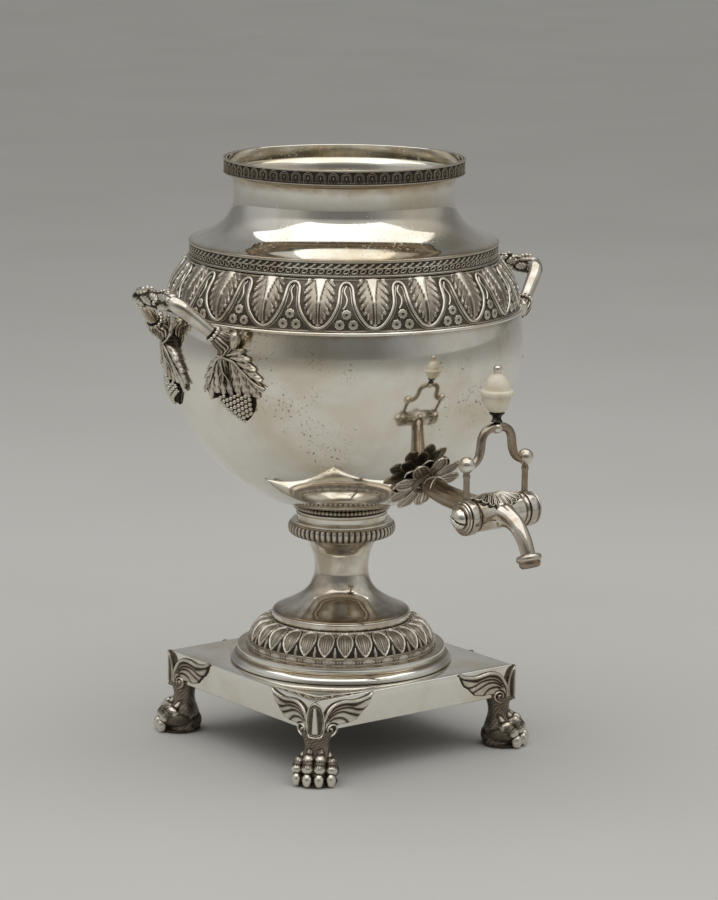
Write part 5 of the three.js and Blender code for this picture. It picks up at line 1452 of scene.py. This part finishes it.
# What stands at each handle's root: the sepals' run, a bright bud beside them and small leaves behind
calyx = {
    "start": 1.7, "lead": 3.2, "knotUp": 0.6, "knotLift": 5.6, "leafLift": 4.6, "leafRise": 2.4,
    "leafHalf": 2.7, "middle": (2.5, 7.5, 7.0),
    "radii": ([0, 0.12, 0.35, 0.6, 0.85, 1], [4.1, 5.0, 5.9, 5.6, 3.4, 0.7]),
    "bud": [(0.5, 8.6, 4.4), (1.6, 11.4, 6.2), (3.0, 14.4, 7.2), (4.4, 17.6, 7.4), (5.2, 19.4, 7.2)],
    "budRadii": ([0, 0.25, 0.55, 0.85, 1], [0.8, 3.0, 4.1, 3.3, 0.9]),
    "leaves": [(-8, 13, -9.5, 22.5), (4.5, 15.5, 8.8, 21.5), (-12, 10, -17.2, 17.6)],
}


def smallRib(u, v):
    return 0.45 * ridge(np.abs(v), 0.25) + 0.2 * np.cos(4 * np.pi * v)


def smallTone(u, v):
    return limited(0.5 - 0.45 * ridge(np.abs(v), 0.3) - 0.3 * np.abs(v) ** 3)


def calyxShapes(sign, place):
    # The sepals close round the arm's root and run to the knot
    direction = rootDirection(sign)
    top = np.array(handle["collarPlace"]) * (1, sign, 1) + (0, axisY, 0) - direction * calyx["start"]
    kx, ky = mount["knot"]
    dx, dy, rise = calyx["middle"]
    knot = place(*np.array([kx, ky + calyx["knotUp"], calyx["knotLift"]]))
    middle = place(*np.array([kx + dx, ky + dy, rise]))
    path = evenPath([top, top - direction * calyx["lead"], middle, knot], 34)
    shapes = [budShape(path, graded(34, *calyx["radii"]), 5, (0.2, 1, 0))]
    line = evenPath(place(*np.array(calyx["bud"]).T), 22)
    folds = 0.35 * np.cos(3 * fullTurn(28))[None, :]
    radii = graded(22, *calyx["budRadii"])
    shapes.append(tubeShape(line, radii, 28, up=(0.2, 1, 0), depth=0.08, relief=folds))
    t = np.linspace(0, 1, 14)
    widths = np.maximum(calyx["leafHalf"] * np.sin(np.pi * (0.14 + 0.84 * t)), 0.12)
    lift = calyx["leafLift"] + calyx["leafRise"] * t
    for x0, y0, x1, y1 in calyx["leaves"]:
        x, y = x0 + (x1 - x0) * t, y0 + (y1 - y0) * t
        spine, higher = (place(x, y, lift + more) for more in (0, 5))
        shapes.append(leafShape(spine, unit(higher - spine), widths, 9, smallRib, 0.8, smallTone, cup=0.2))
    return shapes


def turnedAbout(shape, half):
    # Half a turn round the urn's axis for the handle at -X
    if not half:
        return shape
    middle = np.array([0, axisY, 0])
    return dict(shape, points=(shape["points"] - middle) * (-1, -1, 1) + middle)


def makeHandles():
    bar = handleShape()
    leaves = vineShapes()
    for side, half in (("right", False), ("left", True)):
        title = side.title()
        addPiece("handleBar" + title, turnedAbout(bar, half), "aged", ["handle_" + side])
        addPiece("vineSpray" + title, turnedAbout(leaves, half), "cast", [f"handle_{side}_vine"], 55)
        for sign in (-1, 1):
            end = "back" if (side == "right") == (sign > 0) else "front"
            node = f"handle_{side}_{end}"
            ring = turnedAbout(collarShape(sign), half)
            addPiece(f"beadCollar{title}{end.title()}", ring, "cast", [node + "_collar"])
            # At the left handle's front the leaf turns as drawn; the mount beside it is its mirror image
            place = onMount(math.radians(mount["angle"]) * sign, sign)
            parts = [mountPlate(place)] + wireShapes(place) + calyxShapes(sign, place) + grapeShapes(place)
            whole = turnedAbout(joinShapes(parts), half)
            addPiece(f"vineMount{title}{end.title()}", whole, "cast", [node + "_leaf"], 50)


makeHandles()
print("handles made")

# The tap, from the lever's pivot: rosette, body with its spout, and shell
tap = {
    "groove": 17.5, "grooveHalf": 0.9, "barrelEdge": 19, "reach": 155.57, "level": 177.034,
    "tube": [
        (0, -86.5, 188), (0, -92, 184.5), (0, -98, 181.8), (0, -106, 180), (0, -116, 179), (0, -130, 178),
        (0, -146, 177.2), (0, -155.5, 177)
    ],
    "tubeRadii": [6.6, 6.65, 6.7, 6.8, 7.0, 7.3, 7.8, 7.8],
    "barrel": [
        (-20, 3), (-20, 9.9), (-19.2, 10.2), (-18.4, 9.8), (-17.8, 9.3), (-17.2, 9.3), (-16.4, 9.65),
        (-8, 9.75), (0, 9.8), (8, 9.75), (16.4, 9.65), (17.2, 9.3), (17.8, 9.3), (18.4, 9.8), (19.2, 10.2),
        (20, 9.9), (20, 3),
    ],
    "spout": [
        (0, 0, 0), (0, -6, 0.4), (0, -12, -0.4), (0, -18, -2.6), (0, -23.6, -6.8), (0, -27.9, -12.2),
        (0, -30.6, -17.3), (0, -32, -21)
    ],
    "spoutRadii": [9.3, 8.6, 6.8, 5.6, 5.05, 4.75, 4.6, 4.5],
    "lip": [
        (-1.6, 4.0), (-1.2, 4.9), (-0.9, 6.6), (0, 7.7), (1.2, 8.0), (2.4, 7.8), (3.0, 7.1), (3.4, 6.7),
        (4.6, 6.7), (5.6, 6.5), (6.6, 5.8), (7.0, 5.2), (6.6, 4.2), (2.5, 3.2)
    ],
    "lipShade": ([0, 6, 12, 26, 32, 38, 46, 52], [0.5, 0.5, 0.05, 0.05, 0.6, 0.35, 0.4, 0.9]),
}
# leaves in a layer, how far their tips reach, half width, turn and rise; then the ring's radii and lifts
rosette = {
    "level": 187.53, "root": 5.5, "layers": [(9, 24.0, 5.9, 0.0, 1.0), (9, 21.5, 5.6, 20.0, 0.5)],
    "widths": ([0, 0.2, 0.5, 0.75, 0.88, 0.96, 1], [0.45, 0.72, 1.0, 0.92, 0.66, 0.32, 0.04]),
    "ring": [(9.5, 0.0), (9.5, 3.4), (8.6, 6.4), (7.3, 7.0), (6.7, 6.0), (6.7, 0.0)],
}
crossWire = {
    "back": 97.5, "sway": 3.2, "reach": 7.5, "radius": 0.5,
    "middle": ([86, 92, 98, 106, 116], [188, 184.5, 181.8, 180, 179]),
}
tapPivot = np.array([0, axisY - tap["reach"], tap["level"]])


def fromRoot(away, heading, lift):
    # A place on the bowl's front, so far away from the tube's root in a heading
    return onBowl(-math.pi / 2, rosette["level"], away * np.cos(heading), away * np.sin(heading), lift)


def leafVeins(u, v):
    beside = 0.3 * ridge(np.abs(np.abs(v) - 0.42), 0.12) * (u < 0.85)
    return 0.5 * ridge(np.abs(v), 0.14) + beside + 0.55 * ridge(np.abs(v) - 0.92, 0.16)


def leafBend(u, v):
    return leafVeins(u, v) * 0.8 - 0.9 * (1 - v**2) * np.sin(np.pi * u)


def leafTone(u, v):
    return limited(0.5 - 0.6 * leafVeins(u, v) - 0.45 * np.clip(u - 0.88, 0, 0.12) * 8)


def rosetteShapes():
    # Pointed leaves lean outwards in two layers, with straight veins between bright raised edges
    shapes = []
    t = np.linspace(0, 1, 24)
    for count, tip, half, shift, rise in rosette["layers"]:
        away = rosette["root"] + (tip - rosette["root"]) * t
        lift = 1.6 + rise * (4.6 * np.sin(np.pi * (0.15 + 0.6 * t)) + 2.6 * t**2.4)
        widths = np.maximum(half * np.interp(t, *rosette["widths"]), 0.08)
        for k in range(count):
            heading = math.radians(90 + shift + 360 * k / count)
            spine, higher = (fromRoot(away, heading, lift + more) for more in (0, 5))
            shapes.append(leafShape(spine, unit(higher - spine), widths, 21, leafBend, 0.9, leafTone))
    turn = fullTurn(48)
    grid = [fromRoot(radius, turn, lift + 0 * turn) for radius, lift in rosette["ring"]]
    shapes.append(gridShape(np.stack(grid), along=True, depth=0.5))
    return shapes


def crossWires():
    # Two fine wires cross over the top of the tube in front of the leaves
    shapes = []
    w = crossWire
    turn = np.linspace(-1.25, 1.25, 30)
    for lean in (-1, 1):
        back = w["back"] + lean * w["sway"] * np.sin(turn)
        centre = np.interp(back, *w["middle"])
        line = np.stack([w["reach"] * np.sin(turn), axisY - back, centre + w["reach"] * np.cos(turn)], -1)
        shapes.append(tubeShape(line, w["radius"], 8, up=(0, 1, 0)))
    return shapes


def makeTapBody():
    tube = np.array(tap["tube"]) + (0, axisY, 0)
    inlet = tubeShape(evenPath(tube, 60), smoothValues(tap["tubeRadii"], 60), 32, up=(1, 0, 0), depth=0.42)
    line = smoothPath(tap["barrel"], 90)
    out = np.abs(line[:, 0])
    grooves = limited(1 - np.abs(out - tap["groove"]) / tap["grooveHalf"]) + limited(out - tap["barrelEdge"])
    barrel = spunShape(tapPivot, (1, 0, 0), line, 48, depth=0.2 + 0.8 * limited(grooves))
    path = evenPath(tap["spout"], 50) + tapPivot
    spout = tubeShape(path, smoothValues(tap["spoutRadii"], 50), 32, up=(1, 0, 0), depth=0.2)
    shade = np.interp(np.arange(60), *tap["lipShade"])
    lip = spunShape(path[-1], path[-1] - path[-4], smoothPath(tap["lip"], 60), 40, up=(1, 0, 0), depth=shade)
    addPiece("tapBody", [inlet, barrel, spout, lip], "aged", ["tap_body"])
    addPiece("tapRosette", rosetteShapes() + crossWires(), "cast", ["tap_rosette"], 55)


# The shell on the barrel: looped feathers fan forwards from a hinge at the back, each with edge and rib
shell = {
    "hinge": -6, "step": 16.0, "reach": 16.6, "wider": 3.2, "limit": 96, "round": 10.6, "seat": 9.9,
    "area": ((-19, -46), (19, 76), (170, 130)), "back": -0.6
}


def makeShell():
    x, turn = meshgrid(*shell["area"])
    y = np.radians(turn) * shell["round"]
    cx, cy = x, y - shell["hinge"]
    radius = np.hypot(cx, cy)
    fan = np.degrees(np.arctan2(cx, cy))
    phase = (fan / shell["step"] + 0.5) % 1 - 0.5
    reach = shell["reach"] + shell["wider"] * np.abs(np.sin(np.radians(fan))) ** 1.2
    loop = np.radians(shell["step"]) * reach / 2
    beyond = np.maximum(radius - reach + loop, 0)
    half = np.radians(shell["step"]) * np.minimum(radius, reach - loop) / 2
    edge = np.where(beyond > 0, loop - np.hypot(phase * 2 * loop, beyond), half * (1 - np.abs(2 * phase)))
    inside = np.minimum(edge, (shell["limit"] - np.abs(fan)) * 0.2)
    ribs = 0.8 * ridge(np.abs(phase), 0.12) * (radius > 5) * (beyond < loop * 0.4)
    height = highest(0.95 * ridge(edge - 0.5, 0.5) ** 0.6, ribs, 0.85 * ridge(radius, 3.2) ** 0.5, 0.25)
    lift = 0.7 + 1.5 * np.exp(-((radius - 6) / 6) ** 2) + 1.15 * height
    shade = limited(1.05 - 1.1 * height)

    def place(a, b, h):
        out = shell["seat"] + h
        angle = b / shell["round"]
        return np.stack([a, -out * np.sin(angle), out * np.cos(angle)], -1) + tapPivot

    plate = plateShape(x, y, lift, shell["back"], inside > -0.05, place, shade)
    addPiece("barrelShell", plate, "cast", ["tap_shell"], 55)


makeTapBody()
makeShell()
print("tap body made")

# The key: everything that turns with the plug
key = {
    "eye": [
        (-2.5, 3), (-2.5, 10.2), (-2.2, 10.8), (-1.6, 11.0), (1.6, 11.0), (2.2, 10.8), (2.5, 10.2), (2.5, 3)
    ],
    "eyeShade": ([0, 6, 10, 30, 34, 40], [0.9, 0.7, 0.25, 0.25, 0.7, 0.9]), "eyeOut": 22.8, "post": 1.9,
    "postFoot": 9.5, "postTop": 32.5, "postSpread": 23, "ball": 5.1,
    "bow": [
        (23, 0, 32.5), (19.4, 0, 31.9), (16.4, 0, 33.2), (13.9, 0, 36), (12.6, 0, 39.8), (12.1, 0, 43.6),
        (11.5, 0, 47.2), (9.6, 0, 50.6), (6.6, 0, 52.6), (3.2, 0, 53.4), (0, 0, 53.6)
    ],
    "bowRadius": 2.7, "bowSwell": ([0, 0.15, 0.4, 0.8, 1], [0.85, 0.9, 1.05, 1.0, 1.05]), "hub": 53,
    "hubRadius": 3.7, "hubTop": 3.6, "ferruleHeight": 6.5, "knobHeight": 24, "finialGap": 0.6,
    "washerOut": 25.7, "capShade": ([0, 14, 22, 28, 36, 60], [0.2, 0.1, 0.8, 0.8, 0.1, 0.1]),
    "washerShade": [0.1, 0.1, 0.05, 0.7, 0.3, 0.1, 0.5, 0.8],
    "leftWasher": [
        (0, 3), (0, 9.3), (0.5, 9.6), (0.9, 9.2), (1.1, 8.5), (1.5, 8.4), (1.9, 8.2), (2.0, 7.4), (2.0, 3)
    ],
    "rightWasher": [
        (0, 3), (0, 10.0), (0.35, 10.4), (0.8, 10.2), (1.0, 9.5), (1.3, 9.4), (1.6, 10.1), (2.4, 10.3),
        (3.2, 9.8), (4.0, 8.4), (4.6, 6.2), (4.9, 3.2)
    ],
    "screwOut": 28.15, "screwSink": 3, "slotTurn": 25, "slotHalf": 0.75, "slotEdge": 0.3, "slotDepth": 1.5,
    "screw": [(0, 6.4), (0.5, 6.4), (1.5, 6.1), (2.7, 5.4), (3.7, 4.2), (4.4, 2.6), (4.7, 0.8)],
    "ferrule": [
        (0, 2.4), (0.3, 3.5), (0.9, 3.3), (1.9, 2.75), (3.0, 2.75), (3.9, 3.1), (4.9, 4.3), (5.5, 4.75),
        (6.2, 4.7)
    ],
    "knob": [
        (0, 4.4), (0.2, 4.8), (1.4, 6.0), (3.2, 7.1), (5.6, 8.05), (8.2, 8.5), (9.4, 8.6), (9.55, 9.4),
        (10.2, 9.95), (11.3, 10.2), (12.4, 10.0), (13.2, 9.3), (13.4, 8.3), (14.4, 8.05), (16.2, 7.7),
        (18.2, 6.9), (20.2, 5.7), (22.0, 4.1), (23.3, 2.6), (24, 1.2),
    ],
    "finial": [
        (-1.6, 1.9), (-1.3, 2.3), (-0.8, 2.3), (-0.5, 2.0), (0.0, 2.1), (0.8, 2.55), (1.8, 2.6), (2.8, 2.3),
        (3.5, 1.6), (3.9, 0.7)
    ],
}


def spunKey(out, direction, line, steps, columns=40, depth=0.0):
    # A section spun round an axis of the key, starting so far out from the pivot
    direction = np.array(direction)
    start = tapPivot + direction * out
    return spunShape(start, direction, smoothPath(line, steps), columns, up=(0, 1, 0), depth=depth)


def makeKey():
    k = key
    shapes = []
    t = np.linspace(0, 1, 24)
    beads = 0.45 * np.exp(-((t - 0.02) / 0.05) ** 2) + 0.25 * np.exp(-((t - 0.7) / 0.04) ** 2)
    flutes = 0.16 * np.cos(6 * fullTurn(36))
    eyeShade = np.interp(np.arange(40), *k["eyeShade"])
    capShade = np.interp(np.arange(60), *k["capShade"])
    bowRadii = k["bowRadius"] * graded(60, *k["bowSwell"])
    for side in (-1, 1):
        shapes.append(spunKey(k["eyeOut"], (side, 0, 0), k["eye"], 40, depth=eyeShade))
        foot = tapPivot + (side * k["eyeOut"], 0, k["postFoot"])
        top = tapPivot + (side * k["postSpread"], 0, k["postTop"])
        post = evenPath([foot, foot * 0.66 + top * 0.34, foot * 0.33 + top * 0.67, top], 24)
        shapes.append(tubeShape(post, k["post"] * (1 + beads), 36, up=(0, 1, 0), depth=0.44, relief=flutes))
        shapes.append(ballShapes([top], k["ball"], 40, 24))
        bow = evenPath(np.array(k["bow"]) * (side, 1, 1), 60) + tapPivot
        shapes.append(tubeShape(bow, bowRadii, 20, up=(0, 1, 0), depth=0.4))
    shapes.append(ballShapes([tapPivot + (0, 0, k["hub"])], k["hubRadius"], 32, 18))
    addPiece("keyYoke", shapes, "aged", ["tap_yoke"], body="tap_key")
    rings = np.interp(np.linspace(0, 7, 50), np.arange(8), k["washerShade"])
    left = spunKey(k["washerOut"], (-1, 0, 0), k["leftWasher"], 50, depth=rings)
    right = spunKey(k["washerOut"], (1, 0, 0), k["rightWasher"], 60, depth=capShade)
    addPiece("ringWasher", left, "aged", ["tap_washer_left"], body="tap_key")
    addPiece("roundCap", right, "aged", ["tap_washer_right"], body="tap_key")
    makeScrew()
    base = k["hub"] + k["hubTop"]
    addPiece(
        "knobFerrule", spunKey(base, (0, 0, 1), k["ferrule"], 40), "dark", ["knob_ferrule"], body="tap_key"
    )
    base += k["ferruleHeight"]
    addPiece("ivoryKnob", spunKey(base, (0, 0, 1), k["knob"], 120, 64), "ivory", ["tap_knob"], body="tap_key")
    base += k["knobHeight"] + k["finialGap"]
    addPiece("finialBall", spunKey(base, (0, 0, 1), k["finial"], 40), "aged", ["knob_finial"], body="tap_key")


def makeScrew():
    # A domed head with a slot across: the rings are pressed down where they lie inside the slot
    line = smoothPath(key["screw"], 26)
    turn = fullTurn(72)
    lean = math.radians(key["slotTurn"])
    out, y, z = line[:, :1] + 0 * turn, line[:, 1:] * np.cos(turn), line[:, 1:] * np.sin(turn)
    fromSlot = np.abs(-y * np.sin(lean) + z * np.cos(lean))
    pressed = limited((key["slotHalf"] - fromSlot) / key["slotEdge"])
    out = out - np.minimum(pressed * key["slotDepth"], out)
    points = np.stack([-key["screwOut"] - out, y, z], -1) + tapPivot
    head = gridShape(points, end=tapPivot - (key["screwOut"] + key["screwSink"], 0, 0), depth=pressed * 0.95)
    addPiece("slottedScrew", head, "aged", ["plug_screw"], 45, body="tap_key")


makeKey()
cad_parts["tap_plug"].data.materials.clear()
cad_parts["tap_plug"].data.materials.append(finishes["aged"][1])
print("tap key made")

# Studio: a pale floor, a large soft panel overhead, and a room whose grey changes round it and upwards
studio = {
    "floorColour": (0.655, 0.65, 0.625), "floorShade": (0.6, 0.595, 0.57), "floorRadius": 14,
    "panelPlace": (-0.19, -0.25, 1.75), "panelSize": (2.66, 2.5), "panelTurn": -37, "panelWatts": 19,
    "facing": -127, "tint": (1.0, 0.995, 0.96),
    # share of the way round from behind the urn over its left side, and the grey there
    "low": [
        (0, 0.34), (0.035, 0.25), (0.08, 0.18), (0.13, 0.2), (0.18, 0.34), (0.27, 0.42), (0.36, 0.36),
        (0.41, 0.2), (0.46, 0.16), (0.56, 0.16), (0.62, 0.27), (0.7, 0.43), (0.8, 0.36), (0.85, 0.2),
        (0.9, 0.17), (0.965, 0.25), (1, 0.34)
    ],
    "high": [
        (0, 0.25), (0.05, 0.24), (0.14, 0.33), (0.2, 0.5), (0.36, 0.66), (0.42, 0.45), (0.5, 0.38),
        (0.58, 0.45), (0.64, 0.6), (0.75, 0.56), (0.84, 0.42), (0.9, 0.2), (0.95, 0.16), (1, 0.25)
    ],
    "top": 0.43, "middle": (0.32, 0.56), "overhead": (0.7, 0.82),
}


def makeFloor():
    material, tree, shader = startMaterial("paperFloor")
    place = placeNode(tree)
    grain = noiseNode(tree, place, 3, 2)
    grain = rampNode(tree, grain, 0.3, 0.8, 0, 0.5)
    colour = mixNode(tree, grain, studio["floorColour"], studio["floorShade"])
    tree.links.new(colour, shader.inputs["Base Color"])
    shader.inputs["Roughness"].default_value = 0.9
    shader.inputs["Specular IOR Level"].default_value = 0.1
    mesh = bpy.data.meshes.new("studioFloor")
    angle = fullTurn(96)
    ring = np.stack([np.cos(angle), np.sin(angle), 0 * angle], -1) * studio["floorRadius"]
    mesh.from_pydata(ring.tolist(), [], [list(range(96))])
    mesh.materials.append(material)
    floor = bpy.data.objects.new("studioFloor", mesh)
    bpy.context.scene.collection.objects.link(floor)


def makeLights():
    data = bpy.data.lights.new("overheadPanel", "AREA")
    data.shape = "RECTANGLE"
    data.size, data.size_y = studio["panelSize"]
    data.energy = studio["panelWatts"]
    light = bpy.data.objects.new("overheadPanel", data)
    turned = Matrix.Rotation(math.radians(studio["panelTurn"]), 4, "Z")
    light.matrix_world = Matrix.Translation(studio["panelPlace"]) @ turned
    bpy.context.scene.collection.objects.link(light)


def greyRamp(tree, share, stops):
    node = tree.nodes.new("ShaderNodeValToRGB")
    ramp = node.color_ramp
    while len(ramp.elements) < len(stops):
        ramp.elements.new(1)
    for element, (place, grey) in zip(ramp.elements, stops):
        element.position = place
        element.color = (*(grey * c for c in studio["tint"]), 1)
    tree.links.new(share, node.inputs["Fac"])
    return node.outputs["Color"]


def makeRoom():
    world = bpy.data.worlds.new("greyRoom")
    world.use_nodes = True
    tree = world.node_tree
    ground = tree.nodes["Background"]
    direction = tree.nodes.new("ShaderNodeTexCoord").outputs["Generated"]
    turned = tree.nodes.new("ShaderNodeMapping")
    turned.inputs["Rotation"].default_value = (0, 0, math.radians(-studio["facing"]))
    tree.links.new(direction, turned.inputs["Vector"])
    parts = tree.nodes.new("ShaderNodeSeparateXYZ")
    tree.links.new(turned.outputs["Vector"], parts.inputs["Vector"])
    around = mathNode(tree, "ARCTAN2", parts.outputs["Y"], parts.outputs["X"])
    share = mathNode(tree, "MULTIPLY_ADD", around, 1 / (2 * math.pi), 0.5)
    low, high = (greyRamp(tree, share, studio[k]) for k in ("low", "high"))
    colour = mixNode(tree, rampNode(tree, parts.outputs["Z"], *studio["middle"]), low, high)
    overhead = tuple(studio["top"] * c for c in studio["tint"])
    colour = mixNode(tree, rampNode(tree, parts.outputs["Z"], *studio["overhead"]), colour, overhead)
    tree.links.new(colour, ground.inputs["Color"])
    bpy.context.scene.world = world


makeFloor()
makeLights()
makeRoom()
bpy.context.scene.view_settings.view_transform = "Standard"
print("studio made")
